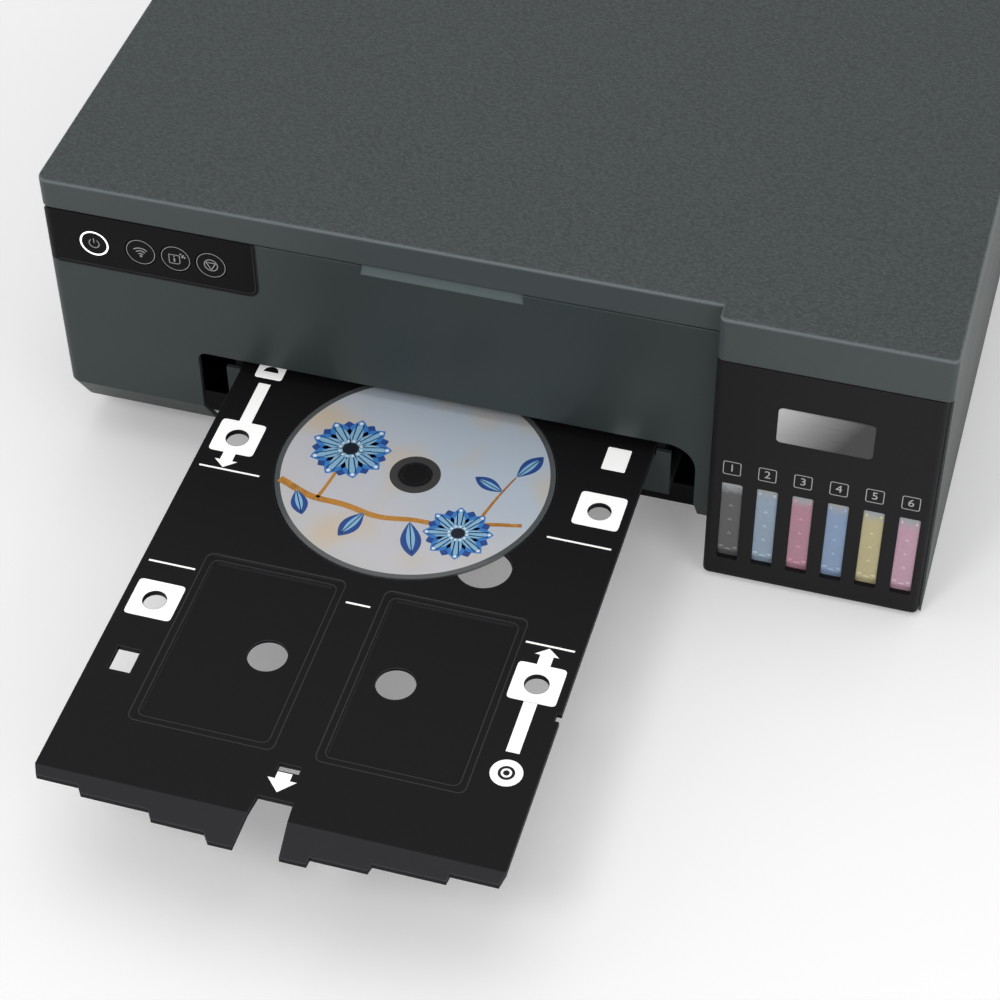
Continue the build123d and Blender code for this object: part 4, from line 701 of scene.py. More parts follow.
@dataclass(frozen=True)
class DiscGround:
    """The soft printed ground of the disc: cool above, warm below, with a slow drift between."""

    name: str = "printed disc ground"
    cool: str = "#c0cddb"
    pale: str = "#d0cfd4"
    warm: str = "#c6c4ba"
    tan: str = "#dcc194"
    drift_size: float = 58.82
    turn: float = 28.0
    shift: Pair = (-68.0, 219.0)

    def build(self) -> Material:
        """Makes the material.

        Returns:
            A glossy print whose tone follows the place on the disc.
        """
        material, tree, place = begun(self.name)
        scale = 1.0 / (self.drift_size * MM)
        moved = (self.shift[0] * MM, self.shift[1] * MM, 0)
        turned = shade(
            tree, "Mapping", {"Rotation": (0, 0, math.radians(self.turn)), "Location": moved},
            {"Vector": place},
        ).outputs[0]
        cloud = shade(
            tree, "TexNoise", {"Scale": scale, "Detail": 1.5, "Distortion": 0.8}, {"Vector": place}
        )
        parts = shade(tree, "SeparateXYZ", {}, {"Vector": turned})
        drift = shade(
            tree, "Math", {"operation": "MULTIPLY_ADD", 1: 0.07},
            {0: cloud.outputs["Fac"], 2: parts.outputs["Y"]},
        )
        where = shade(tree, "MapRange", {"From Min": -0.035, "From Max": 0.09}, {"Value": drift.outputs[0]})
        ramp = shade(tree, "ValToRGB", {}, {"Fac": where.outputs["Result"]})
        stops = ramp.color_ramp.elements
        stops[0].color = linear(self.warm)
        stops[1].color = linear(self.cool)
        stops.new(0.45).color = linear(self.pale)
        settings = {"noise_dimensions": "4D", "Scale": scale * 1.8, "Detail": 1.0, "W": 3.0}
        blotch = shade(tree, "TexNoise", settings, {"Vector": turned})
        span = {"From Min": 0.56, "From Max": 0.82, "To Max": 0.85}
        patch = shade(tree, "MapRange", span, {"Value": blotch.outputs["Fac"]})
        blended = shade(
            tree, "Mix", {"data_type": "RGBA", 7: linear(self.tan)},
            {0: patch.outputs["Result"], 6: ramp.outputs["Color"]},
        )
        shader = shade(
            tree, "BsdfPrincipled", {"Roughness": 0.3, "Coat Weight": 0.1},
            {"Base Color": blended.outputs[2]},
        )
        shade(tree, "OutputMaterial", {}, {"Surface": shader.outputs["BSDF"]})
        return material


# Moulded polystyrene off a spark-eroded tool: a soft sheen, and a painted highlight on the edges that slant
# between top and wall.
BODY_PLASTIC = MouldedPlastic(
    "grey green body plastic", "#373f3f", roughness=0.38, gloss=0.36, edge=0.7, edge_light=2.8
)
# The same plastic with a crossed crease, drawn coarser than it is so that it shows, with painted shade in the
# creases and a painted highlight on its slanted edges.
LID_PLASTIC = MouldedPlastic(
    "grained lid plastic", "#474e4f", roughness=0.4, grain=Grain.LEATHER, grain_size=0.95, grain_depth=0.7,
    gloss=0.36, edge=1.5, edge_light=2.5,
)
# Black moulded ABS: nearly black, with a dull sheen.
TANK_PLASTIC = MouldedPlastic("black tank cover plastic", "#1a191b", roughness=0.5, gloss=0.2)
PANEL_PLASTIC = MouldedPlastic("black control panel plastic", "#0b0b0c", roughness=0.4, gloss=0.12)
# Black tray plastic with a strong painted highlight on its slanted edges and lip, which shows as pale lines.
TRAY_PLASTIC = MouldedPlastic(
    "black tray plastic", "#171719", roughness=0.5, grain_size=0.35, gloss=0.14, edge=0.4, edge_light=14.0,
    edge_from=0.01,
)
INNER_PLASTIC = MouldedPlastic("black inner plastic", "#1c1c1e", roughness=0.55, gloss=0.2)
OUTPUT_PLASTIC = MouldedPlastic("grey output tray plastic", "#353b3c", roughness=0.5)
# Polished in the tool: black and even, without a grain that shows.
BUTTON_PLASTIC = MouldedPlastic(
    "smooth button plastic", "#0b0b0c", roughness=0.4, grain=Grain.SMOOTH, gloss=0.12, edge=0.3
)
CAP_PLASTIC = MouldedPlastic("soft cap plastic", "#232426", roughness=0.5)
# Cut acetal: white with a waxy sheen.
ACETAL = PlainFinish("white acetal", "#e4e2da", roughness=0.38, speck_size=0.8)
# Rolled sheet and ground bar: bright metal with streaks along its length.
STEEL = PlainFinish("zinc plated steel", "#b9bcbe", roughness=0.34, metal=1.0, brushed=True, speck_size=0.5)
SHAFT_STEEL = PlainFinish("ground steel", "#c6c8ca", roughness=0.16, metal=1.0, brushed=True, speck_size=0.3)
# Rubber: dark and matt, without a highlight.
RUBBER = PlainFinish("grip rubber", "#262626", roughness=0.82, speck_size=0.4, speck_depth=0.02)
FOOT_RUBBER = PlainFinish("foot rubber", "#303030", roughness=0.85, speck_size=0.5, speck_depth=0.02)
BELT = PlainFinish("belt rubber", "#1b1b1c", roughness=0.7, speck_size=0.5, speck_depth=0.03)
# Green lacquer over copper: glossy.
BOARD = PlainFinish("circuit board lacquer", "#14532c", roughness=0.3, coat=0.4, speck_size=1.5)
# Milky plastic lit from behind: pure white.
LIGHT_RING = PlainFinish("white light ring", "#ffffff", roughness=0.3, glow=1.6)
# Pad-printed inks: flat tones with a sharp outline.
# The white print glows a little, as painted light, so that it stays pure white.
GLOWING_WHITE_PRINT = PlainFinish("white print", "#fbfbfa", roughness=0.45, speck_size=0.5, glow=0.34)
GREY_PRINT = PlainFinish("grey print", "#a9acac", roughness=0.45, speck_size=0.5)
# The black print also stands as painted shade in the card recesses and in the gap round the control panel.
DARK_PRINT_AND_SHADE = PlainFinish("black print and painted shade", "#070708", roughness=0.75, speck_size=0.5)
LABEL_PRINT = PlainFinish("pale label print", "#b9bcbc", roughness=0.45, speck_size=0.5)
RING_PRINT = PlainFinish("dark ring print", "#3d3d3c", roughness=0.4)
# Polycarbonate of the disc: grey and half clear at its rim.
CLEAR_RIM = PlainFinish("clear disc plastic", "#6a6e70", roughness=0.12, clear=0.35, coat=0.5, index=1.58)
# Painted highlight: pale lines on the edges of the card recesses, where they catch the light.
RIM_SHEEN = PlainFinish("painted tray edge highlight", "#29292c", roughness=0.4)
# Painted highlight: a fine grey line along the rim of the control panel.
PANEL_RIM_HIGHLIGHT = PlainFinish("fine rim line", "#2c2d2e", roughness=0.4)
HUB_PLASTIC = PlainFinish("black hub plastic", "#0f0f10", roughness=0.35, speck_size=0.5)


# ---------------------------------------------------------------- sub-assemblies


@dataclass
class Dressing:
    """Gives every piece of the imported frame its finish."""

    nodes: dict[str, bpy.types.Object]
    socket_x: float = -110.0
    socket_depth: float = 7.5
    inks: tuple[str, ...] = ("#646465", "#9aacbf", "#bd8c9d", "#8ea4c4", "#c3b98f", "#c8a1b2")

    def dress(self) -> None:
        """Builds the finishes and hands them out, node by node."""
        by_finish = {
            BODY_PLASTIC: ("front_panel", "left_cover", "right_cover", "rear_cover"),
            LID_PLASTIC: ("top_lid", "rear_deck", "paper_support"),
            TANK_PLASTIC: ("tank_cover",),
            PANEL_PLASTIC: ("control_panel",),
            TRAY_PLASTIC: ("disc_tray",),
            INNER_PLASTIC: (
                "base_pan", "tank_shelf", "feed_hopper", "edge_guide_left", "edge_guide_right", "tray_guides",
                "output_extension", "platen", "carriage", "capping_station", "power_supply",
            ),
            OUTPUT_PLASTIC: ("output_tray",),
            BUTTON_PLASTIC: ("power_button", "network_button", "info_button", "stop_button"),
            CAP_PLASTIC: tuple(f"tank_cap_{i}" for i in range(1, 7)),
            ACETAL: (
                "feed_gear", "idler_gear", "eject_gear", "motor_pinion", "drive_pulley", "idler_pulley",
                "pinch_rollers",
            ),
            STEEL: ("left_frame", "right_frame", "guide_rail", "feed_motor", "carriage_motor"),
            SHAFT_STEEL: ("lid_hinge_pins", "feed_roller"),
            RUBBER: ("pickup_roller", "eject_roller"),
            FOOT_RUBBER: ("rubber_feet",),
            BELT: ("drive_belt",),
            BOARD: ("mainboard", "button_board"),
            LIGHT_RING: ("power_light_ring",),
            CLEAR_RIM: ("disc",),
        }
        for finish, names in by_finish.items():
            material = finish.build()
            for name in names:
                self.paint(name, material)
        self.data_socket()
        for index, ink in enumerate(self.inks, start=1):
            self.paint(f"ink_tank_{index}", FrostedTank(f"frosted tank {index}", ink).build())

    def data_socket(self) -> None:
        """The steel collar of the data socket at the back, with a black tongue in its mouth."""
        x, depth = self.socket_x, self.socket_depth
        collar = Stock()
        collar.band(rounded_box((x, 37.15), (12.2, 10.9), 0.5), rounded_box((x, 36.85), (8.3, 7.6), 0.5),
                    SOCKET_FACE, -depth, 0.04, closed=True)
        collar.finish("data_socket_collar", STEEL.build(), "housing", "frame_steel")
        tongue = Stock()
        tongue.slab(rounded_box((x, 37.2), (4.0, 2.2), 0.3), SOCKET_FACE, -depth, -0.6)
        tongue.finish("data_socket_tongue", DARK_PRINT_AND_SHADE.build(), "housing", "guide_plastic")

    def paint(self, name: str, material: Material) -> None:
        """Puts a material on one piece of the frame.

        Args:
            name: the piece's node.
            material: its finish.
        """
        mesh = self.nodes[name].data
        mesh.materials.clear()
        mesh.materials.append(material)
        LOG.info("gave %s the finish %s", name, material.name)


@dataclass
class TrayMarks:
    """Print on the disc tray, and painted highlights and painted shade on its card recesses.

    Places are X and Y in the frame. Stems, arrows and squares stand in two columns,
    left and right of the tray's middle, and name their column by -1 or 1.
    """

    lift: float = 0.05
    film: float = 0.03
    middle_x: float = -19.2
    column: float = 81.1
    square: Pair = (20.2, 19.6)
    hole: float = 5.15
    holes: tuple[Pair, ...] = ((-1, -215.1), (1, -215.5), (-1, -312.9), (1, -313.7))
    stem: float = 5.5
    stems: tuple[tuple[float, ...], ...] = (
        (-1, 0.0, -179.8, -205.3), (-1, 0.0, -224.3, -229.4),
        (1, 0.2, -323.4, -349.3), (1, 0.0, -298.2, -304.2),
    )
    arrows: tuple[tuple[float, ...], ...] = ((-1, 5.1, -229.2, -233.5), (1, -5.0, -298.4, -294.5))
    end_line: float = 0.9
    end_lines: tuple[Triple, ...] = (
        (-110.5, -83.2, -234.6), (-110.8, -90.4, -292.5), (44.5, 72.1, -235.4), (51.7, 72.1, -293.3),
        (-24.7, -14.3, -292.8),
    )
    plates: tuple[tuple[Pair, Pair, float], ...] = (
        ((61.2, -183.8), (10.4, 13.7), 0.6), ((-100.3, -169.5), (12.6, 13.8), 1.2),
    )
    bow: Pair = (-100.3, -172.0)
    target: Pair = (62.6, -359.5)
    target_radii: tuple[float, ...] = (6.5, 3.4, 2.2, 1.3)
    pull_arrow: tuple[Pair, ...] = (
        (-13.4, -386.0), (-16.2, -386.0), (-16.2, -382.6), (-22.2, -382.6), (-22.2, -386.0), (-25.2, -386.0),
        (-19.3, -392.2),
    )
    card_offset: float = 38.8
    card_y: float = -327.8
    card_far_y: float = -285.0
    card_steps: tuple[Triple, ...] = ((60.4, 91.6, -0.3), (54.4, 85.6, -1.0))
    corner_lines: tuple[tuple[Pair, Pair, float, float], ...] = (
        ((-25.2, -0.9), (25.2, -0.9), 1.8, -1.0), ((-26.6, -2.0), (-26.6, -83.0), 1.2, -1.0),
        ((-27.2, 2.4), (27.2, 2.4), 1.0, -0.3),
    )

    def build(self) -> None:
        """Builds the white print, the dark print on it, and the painted highlights and shade of the card
        recesses.
        """
        self.white_print()
        dark = Stock()
        top = self.lift + self.film
        radii = self.target_radii
        outer, inner = (circle(self.target, radius, 36) for radius in radii[1:3])
        dark.band(outer, inner, TRAY_TOP, self.lift, top, closed=True)
        dark.slab(circle(self.target, radii[3], 24), TRAY_TOP, self.lift, top)
        dark.slab(arc(self.bow, radii[1], 0, 180, 19), TRAY_TOP, self.lift, top)
        rims = Stock()
        for side in (-1, 1):
            self.card_recess(self.middle_x + side * self.card_offset, rims, dark)
        rims.finish("card_recess_rim_highlights", RIM_SHEEN.build(), "disc_tray", "tray_plastic")
        dark.finish("tray_dark_print_and_shade", DARK_PRINT_AND_SHADE.build(), "disc_tray", "tray_plastic")

    def white_print(self) -> None:
        """Squares round the holes, stems with arrows, end lines, plates and the pull arrow."""
        white = Stock()
        for side, y in self.holes:
            x = self.middle_x + side * self.column
            outer = soft_box((x, y + 0.3), self.square, 14.0, 96)
            white.band(outer, circle((x, y), self.hole, 96), TRAY_TOP, 0.0, self.lift, closed=True)
        for side, shift, start, stop in self.stems:
            x = self.middle_x + side * self.column + shift
            white.line(np.array([(x, start), (x, stop)]), self.stem, TRAY_TOP, 0.0, self.lift)
        for side, half, foot, tip in self.arrows:
            x = self.middle_x + side * self.column
            white.slab(np.array([(x - half, foot), (x, tip), (x + half, foot)]), TRAY_TOP, 0.0, self.lift)
        for left, right, y in self.end_lines:
            white.line(np.array([(left, y), (right, y)]), self.end_line, TRAY_TOP, 0.0, self.lift)
        for centre, size, corner in self.plates:
            white.slab(rounded_box(centre, size, corner), TRAY_TOP, 0.0, self.lift)
        white.slab(circle(self.target, self.target_radii[0], 48), TRAY_TOP, 0.0, self.lift)
        white.slab(np.array(self.pull_arrow), TRAY_TOP, 0.0, self.lift)
        white.finish("tray_print", GLOWING_WHITE_PRINT.build(), "disc_tray", "light_guide")

    def card_recess(self, x: float, rims: Stock, dark: Stock) -> None:
        """Draws both steps of one card recess and the shadows in its far and left corners.

        Args:
            x: the recess's middle.
            rims: takes the pale line outside each step, a painted highlight.
            dark: takes the dark line inside each step and the shadows, all painted shade.
        """
        middle = (x, self.card_y)
        ledge = 0.0
        for width, height, floor in self.card_steps:
            edge = rounded_box(middle, (width, height), 3.0)
            outside = rounded_box(middle, (width + 0.7, height + 0.7), 3.3)
            inside = rounded_box(middle, (width - 0.9, height - 0.9), 2.6)
            # The pale line outside each step is a painted highlight, and the dark line inside it painted
            # shade.
            rims.band(outside, edge, TRAY_TOP, ledge, ledge + 0.04, closed=True)
            dark.band(edge, inside, TRAY_TOP, floor, floor + self.film, closed=True)
            ledge = floor
        # Painted shadows in the recess's far and left corners.
        for start, stop, width, floor in self.corner_lines:
            ends = np.array([start, stop]) + np.array((x, self.card_far_y))
            dark.line(ends, width, TRAY_TOP, floor + self.film, floor + 0.05)


@dataclass(frozen=True)
class Lens:
    """A leaf or petal: where it starts, which way it points in degrees, how long and half how wide it is."""

    x: float
    y: float
    turn: float
    length: float
    half: float

    def laid(self, centre: Pair, points: Array) -> Array:
        """Turns points along the lens into points on the disc.

        Args:
            centre: the disc's middle.
            points: places as (along, across), in millimetres.

        Returns:
            The points in the plane of the disc.
        """
        turned = math.radians(self.turn)
        spin = np.array([[math.cos(turned), math.sin(turned)], [-math.sin(turned), math.cos(turned)]])
        return points @ spin + np.array(centre) + np.array([self.x, self.y])

    def sides(self, centre: Pair) -> tuple[Array, Array]:
        """The two edges, whose distance from the middle is a sine of the way along.

        Args:
            centre: the disc's middle.

        Returns:
            The left and the right edge, each of shape (25, 2).
        """
        way = np.linspace(0, 1, 25)
        rise = self.half * np.sin(np.pi * way ** 1.15) ** 0.85
        along = way * self.length
        left, right = (np.column_stack((along, side * rise)) for side in (1, -1))
        return self.laid(centre, left), self.laid(centre, right)


@dataclass
class DiscPrint:
    """The printed picture on the disc: a made-up design of blue flowers and leaves on a brown stalk."""

    centre: Pair = (-19.2, -216.0)
    bore: float = 7.5
    inner: float = 11.0
    outer: float = 57.7
    claw: Pair = (6.6, 5.6)
    lift: float = 0.02
    ink: float = 0.01
    flowers: tuple[tuple[float, float, float, int], ...] = ((-31.5, 7.5, 18.0, 9), (27.5, -28.0, 15.0, 8))
    leaves: tuple[Lens, ...] = (
        Lens(-46, -22, -62, 15, 3.6), Lens(-14, -27, -112, 17, 4.0), Lens(6, -27, -70, 20, 4.4),
        Lens(42, 10, 62, 17, 3.8), Lens(39, 0, 158, 15, 3.4),
    )

    def build(self) -> None:
        """Builds the ground, the stalk, the flowers and the hub's dark ring."""
        ground = Stock()
        ground.band(circle(self.centre, self.outer, 144), circle(self.centre, self.inner, 144),
                    DISC_TOP, 0.0, self.lift, closed=True)
        ground.finish("disc_picture_ground", DiscGround().build(), "disc", "clear_disc")
        self.hub()
        stalks = Stock()
        for points, thick, thin in self.stalks():
            width = np.linspace(thick, thin, len(points))[:, None]
            left, right = edges_of_line(points, 1.0)
            stalks.band(points + (left - points) * width, points + (right - points) * width,
                        DISC_TOP, self.lift, self.lift + 0.015)
        bark = DiscGround("printed bark", "#a3672a", "#c98d3f", "#5d3d22", "#e0a953", drift_size=2.381)
        stalks.finish("disc_picture_stalk", bark.build(), "disc", "clear_disc")
        self.petals()

    def hub(self) -> None:
        """The dark ring round the bore and the claws of the holder inside it."""
        ring = Stock()
        ring.band(circle(self.centre, self.inner, 96), circle(self.centre, self.bore, 96),
                  DISC_TOP, 0.0, self.lift, closed=True)
        ring.finish("disc_inner_ring", RING_PRINT.build(), "disc", "clear_disc")
        claws = Stock()
        for turn in range(0, 360, 60):
            outer, inner = (arc(self.centre, radius, turn + 6, turn + 54, 9) for radius in self.claw)
            claws.band(outer, inner, DISC_TOP, -0.1, 0.25)
        claws.finish("hub_claws", HUB_PLASTIC.build(), "disc_tray", "tray_plastic")

    def stalks(self) -> list[tuple[Array, float, float]]:
        """The main stalk, which bows under the hub as a parabola, and its two side shoots.

        Returns:
            For each: its middle line, and its width at the start and the end.
        """
        x = np.linspace(-55.0, 52.0, 60)
        main = np.column_stack((x, -27.0 + 0.0034 * (x + 5) ** 2 + 0.8 * np.sin(x / 5.0)))
        rise = np.linspace(0.0, 1.0, 20)
        left = np.column_stack((-36.0 + 4.5 * rise, -24.0 + 30.0 * rise - 3.0 * np.sin(np.pi * rise)))
        right = np.column_stack((33.0 + 9.0 * rise, -22.0 + 32.0 * rise + 2.0 * np.sin(np.pi * rise)))
        offset = np.array(self.centre)
        return [(main + offset, 3.6, 1.9), (left + offset, 1.7, 1.2), (right + offset, 1.6, 0.7)]

    def petals(self) -> None:
        """Petals round each flower in two layers, with leaves, streaks, spots and dark hearts."""
        levels = [self.lift + 0.02 + self.ink * step for step in range(6)]
        deep, bright, pale, spots, ink = Stock(), Stock(), Stock(), Stock(), Stock()
        for x, y, reach, count in self.flowers:
            for index in range(count):
                turn = 360.0 * index / count + 11.0
                petal = Lens(x, y, turn, reach, reach * 0.26)
                self.lens(deep, Lens(x, y, turn + 180.0 / count, reach * 0.94, reach * 0.27), levels[0])
                self.lens(bright, petal, levels[1])
                self.lens(pale, Lens(x, y, turn, reach * 0.86, reach * 0.15), levels[2])
                for across in (-0.09, 0.09):
                    streak = petal.laid(self.centre, reach * np.array([(0.3, across * 0.6), (0.84, across)]))
                    ink.line(streak, 0.5, DISC_TOP, levels[2], levels[3])
                spot = petal.laid(self.centre, np.array([(reach * 0.88, 0.0)]))[0]
                spots.slab(circle(tuple(spot), reach * 0.05, 16), DISC_TOP, levels[3], levels[4])
            heart = (self.centre[0] + x, self.centre[1] + y)
            ink.slab(circle(heart, reach * 0.2, 32), DISC_TOP, levels[3], levels[4])
            for dot in arc(heart, reach * 0.26, 0, 330, 12):
                spots.slab(circle(tuple(dot), 0.55, 10), DISC_TOP, levels[4], levels[5])
        for leaf in self.leaves:
            self.lens(deep, leaf, levels[0])
            self.lens(pale, Lens(leaf.x, leaf.y, leaf.turn, leaf.length * 0.86, leaf.half * 0.42), levels[1])
            vein = leaf.laid(self.centre, np.array([(1.0, 0.0), (leaf.length * 0.9, 0.0)]))
            ink.line(vein, 0.45, DISC_TOP, levels[1], levels[2])
        prints = {
            "deep blue": ("#2a4f96", deep), "bright blue": ("#3f83cf", bright),
            "pale blue": ("#8fc0e4", pale), "white": ("#f1f4f5", spots), "ink": ("#1a1f2b", ink),
        }
        for name, (colour, stock) in prints.items():
            finish = PlainFinish(f"printed {name}", colour, roughness=0.3)
            stock.finish(f"disc_picture_{name.replace(' ', '_')}", finish.build(), "disc", "clear_disc")

    def lens(self, stock: Stock, lens: Lens, level: float) -> None:
        """Adds one leaf or petal at a level above the disc."""
        left, right = lens.sides(self.centre)
        stock.band(left, right, DISC_TOP, level, level + self.ink)


@dataclass
class ControlMarks:
    """Circles and signs on the four buttons, the lit ring, and the painted shade of the gap round the panel.
    """

    height: float = 121.0
    radius: float = 6.6
    circle_line: float = 0.28
    sign_line: float = 0.42
    lift: float = 0.03
    depth: float = 2.5
    ring_radii: tuple[float, ...] = (8.1, 6.6, 6.55, 5.9, 5.8)
    places: tuple[tuple[str, float], ...] = (
        ("power_button", -175.2), ("network_button", -153.7),
        ("info_button", -137.6), ("stop_button", -121.4),
    )
    panel_left: float = -193.5
    panel_right: float = -100.5
    panel_foot: float = 107.5
    panel_top: float = 136.6
    panel_corner: float = 5.0

    def build(self) -> None:
        """Builds the marks of each button, the lit ring and the painted shade of the panel's gap."""
        material = GREY_PRINT.build()
        signs = (self.power_sign, self.network_sign, self.info_sign, self.stop_sign)
        for (body, x), draw in zip(self.places, signs):
            stock = Stock()
            if body != "power_button":
                radii = (self.radius, self.radius - self.circle_line)
                outer, inner = (circle((x, self.height), radius, 72) for radius in radii)
                stock.band(outer, inner, BODY_FRONT, 0.0, self.lift, closed=True)
            draw(stock, x)
            stock.finish(f"{body}_sign", material, body, "light_guide")
        self.light_ring(self.places[0][1])
        self.rim()

    def rim(self) -> None:
        """Painted shade of the gap along the panel's foot and right side, and a painted highlight line inside
        it.
        """
        middle = (self.panel_right - self.panel_corner, self.panel_foot + self.panel_corner)
        # The gap is painted shade and the fine line a painted highlight on the panel's rim.
        for name, finish, inset, width in (
            ("panel_gap_shade", DARK_PRINT_AND_SHADE, 0.0, 0.8), ("panel_rim_highlight", PANEL_RIM_HIGHLIGHT, 1.3, 0.25),
        ):
            turn = arc(middle, self.panel_corner - inset, -90, 0, 12)
            start = [(self.panel_left, self.panel_foot + inset)]
            stop = [(self.panel_right - inset, self.panel_top)]
            stock = Stock()
            stock.line(np.vstack((start, turn, stop)), width, BODY_FRONT, 0.0, self.lift)
            stock.finish(name, finish.build(), "housing", "tank_plastic")

    def light_ring(self, x: float) -> None:
        """The lit ring, the dark rim round it and the power button inside it.

        Args:
            x: the button's middle.
        """
        rings = [circle((x, self.height), radius, 96) for radius in self.ring_radii]
        rim = Stock()
        rim.band(rings[0], rings[1], BODY_FRONT, -self.depth, 0.0, closed=True)
        rim.finish("power_button_rim", PANEL_PLASTIC.build(), "housing", "tank_plastic")
        glow = Stock()
        glow.band(rings[2], rings[3], BODY_FRONT, -self.depth, 0.05, closed=True)
        ring = glow.finish("power_ring", LIGHT_RING.build(), "housing", "light_guide")
        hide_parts("power_light_ring")
        button = Stock()
        button.slab(rings[4], BODY_FRONT, -self.depth, 0.0)
        key = button.finish("power_key", BUTTON_PLASTIC.build(), "power_button", "button_plastic")
        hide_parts("power_button")

    def stroke(self, stock: Stock, path: Array, x: float, width: float) -> None:
        """Adds one stroke whose points are given from the button's middle."""
        stock.line(path + np.array((x, self.height)), width, BODY_FRONT, 0.0, self.lift)

    def outline(self, stock: Stock, corners: tuple[Pair, ...], x: float, width: float) -> None:
        """Adds a straight stroke from each corner to the next and back to the first."""
        for start, stop in zip(corners, corners[1:] + corners[:1]):
            self.stroke(stock, np.array([start, stop]), x, width)

    def power_sign(self, stock: Stock, x: float) -> None:
        """An open ring with an upright bar."""
        self.stroke(stock, arc((0, 0), 2.3, 125, 415, 30), x, self.sign_line)
        self.stroke(stock, np.array([(0, 0.3), (0, 2.9)]), x, self.sign_line)

    def network_sign(self, stock: Stock, x: float) -> None:
        """Three arcs over a dot, the common sign for radio.

        Args:
            stock: takes the strokes.
            x: the button's middle.
        """
        for radius in (1.6, 3.1, 4.6):
            self.stroke(stock, arc((0, -2.4), radius, 48, 132, 16), x, 0.5)
        stock.slab(circle((x, self.height - 2.2), 0.6, 16), BODY_FRONT, 0.0, self.lift)

    def info_sign(self, stock: Stock, x: float) -> None:
        """A sheet with a bar on it and four dots beside it.

        Args:
            stock: takes the strokes.
            x: the button's middle.
        """
        self.outline(stock, ((-3.0, 2.0), (-3.0, -2.8), (1.0, -2.8), (1.9, -1.9), (1.9, 2.0)), x, 0.36)
        for foot, head in ((-1.8, 0.2), (0.8, 1.4)):
            self.stroke(stock, np.array([(-0.6, foot), (-0.6, head)]), x, 0.7)
        for dot_x, dot_y in ((2.6, 3.0), (3.7, 2.4), (3.2, 1.5), (4.3, 1.4)):
            stock.slab(circle((x + dot_x, self.height + dot_y), 0.45, 12), BODY_FRONT, 0.0, self.lift)

    def stop_sign(self, stock: Stock, x: float) -> None:
        """A triangle that points down inside a ring."""
        self.stroke(stock, arc((0, 0), 3.0, 0, 360, 41), x, self.sign_line)
        self.outline(stock, ((-2.2, 1.3), (2.2, 1.3), (0, -2.5)), x, self.sign_line)


@dataclass
class TankMarks:
    """Numbers, level marks and the bare badge of the tank section."""

    first: float = 112.1
    pitch: float = 15.26
    label_shift: float = -0.6
    label_z: float = 69.2
    label_size: float = 7.8
    frame_line: float = 0.35
    number_size: float = 6.0
    badge_centre: Pair = (149.2, 99.8)
    badge_size: Pair = (40.5, 19.4)
    badge_bevel: float = 0.4
    level_marks: Triple = (29.5, 38.0, 46.5)
    mark_half: float = 1.2
    studs: tuple[tuple[Pair, Pair, float], ...] = (
        ((-3.1, 20.3), (1.2, 0.7), 0.35), ((3.1, 20.3), (1.2, 0.7), 0.35), ((-3.2, 56.6), (0.7, 1.0), 0.25),
        ((3.2, 56.6), (0.7, 1.0), 0.25), ((0.0, 19.2), (1.6, 0.5), 0.35),
    )
    tints: tuple[str, ...] = ("#8d8d8e", "#bccbdc", "#dba3b4", "#a9bde0", "#dad3a8", "#ddbecd")

    def build(self) -> None:
        """Builds the labels, the raised marks on the noses and the badge."""
        material = LABEL_PRINT.build()
        frames = Stock()
        size = self.label_size
        inset = size - 2 * self.frame_line
        middles = [self.first + self.pitch * index for index in range(len(self.tints))]
        labels = [(x + self.label_shift, self.label_z) for x in middles]
        for label in labels:
            frames.band(rounded_box(label, (size, size), 1.0), rounded_box(label, (inset, inset), 0.7),
                        TANK_FRONT, 0.0, 0.04, closed=True)
        frames.finish("tank_label_frames", material, "housing", "light_guide")
        for number, label in enumerate(labels, start=1):
            sign = written(str(number), self.number_size, label, TANK_FRONT, 0.02)
            finished(f"tank_number_{number}", sign, material, "housing")
        for number, (x, tint) in enumerate(zip(middles, self.tints), start=1):
            self.nose_marks(number, x, tint)
        badge = Stock()
        plate = rounded_box(self.badge_centre, self.badge_size, 2.0)
        flat = (self.badge_size[0] - 2 * self.badge_bevel, self.badge_size[1] - 2 * self.badge_bevel)
        top = rounded_box(self.badge_centre, flat, 1.7)
        badge.slab(top, TANK_FRONT, 0.0, 0.35)
        badge.band(plate, top, TANK_FRONT, 0.0, 0.2, closed=True)
        badge.finish("bare_badge", BadgeMetal().build(), "housing", "light_guide")

    def nose_marks(self, number: int, x: float, tint: str) -> None:
        """The raised level marks and studs on one tank's nose.

        Args:
            number: the tank's number from the left.
            x: the nose's middle.
            tint: the ink's tone where the plastic is thick.
        """
        raised = Stock()
        for z in self.level_marks:
            mark = np.array([(x - self.mark_half, z - 0.8), (x + self.mark_half, z - 0.8), (x, z + 0.9)])
            raised.slab(mark, TANK_NOSE, 0.0, 0.2)
        for (shift, z), size, rise in self.studs:
            raised.dome((x + shift, z), size, rise, TANK_NOSE)
        finish = PlainFinish(f"raised marks {number}", tint, roughness=0.3)
        raised.finish(f"tank_level_marks_{number}", finish.build(), "housing", "frosted_tank")


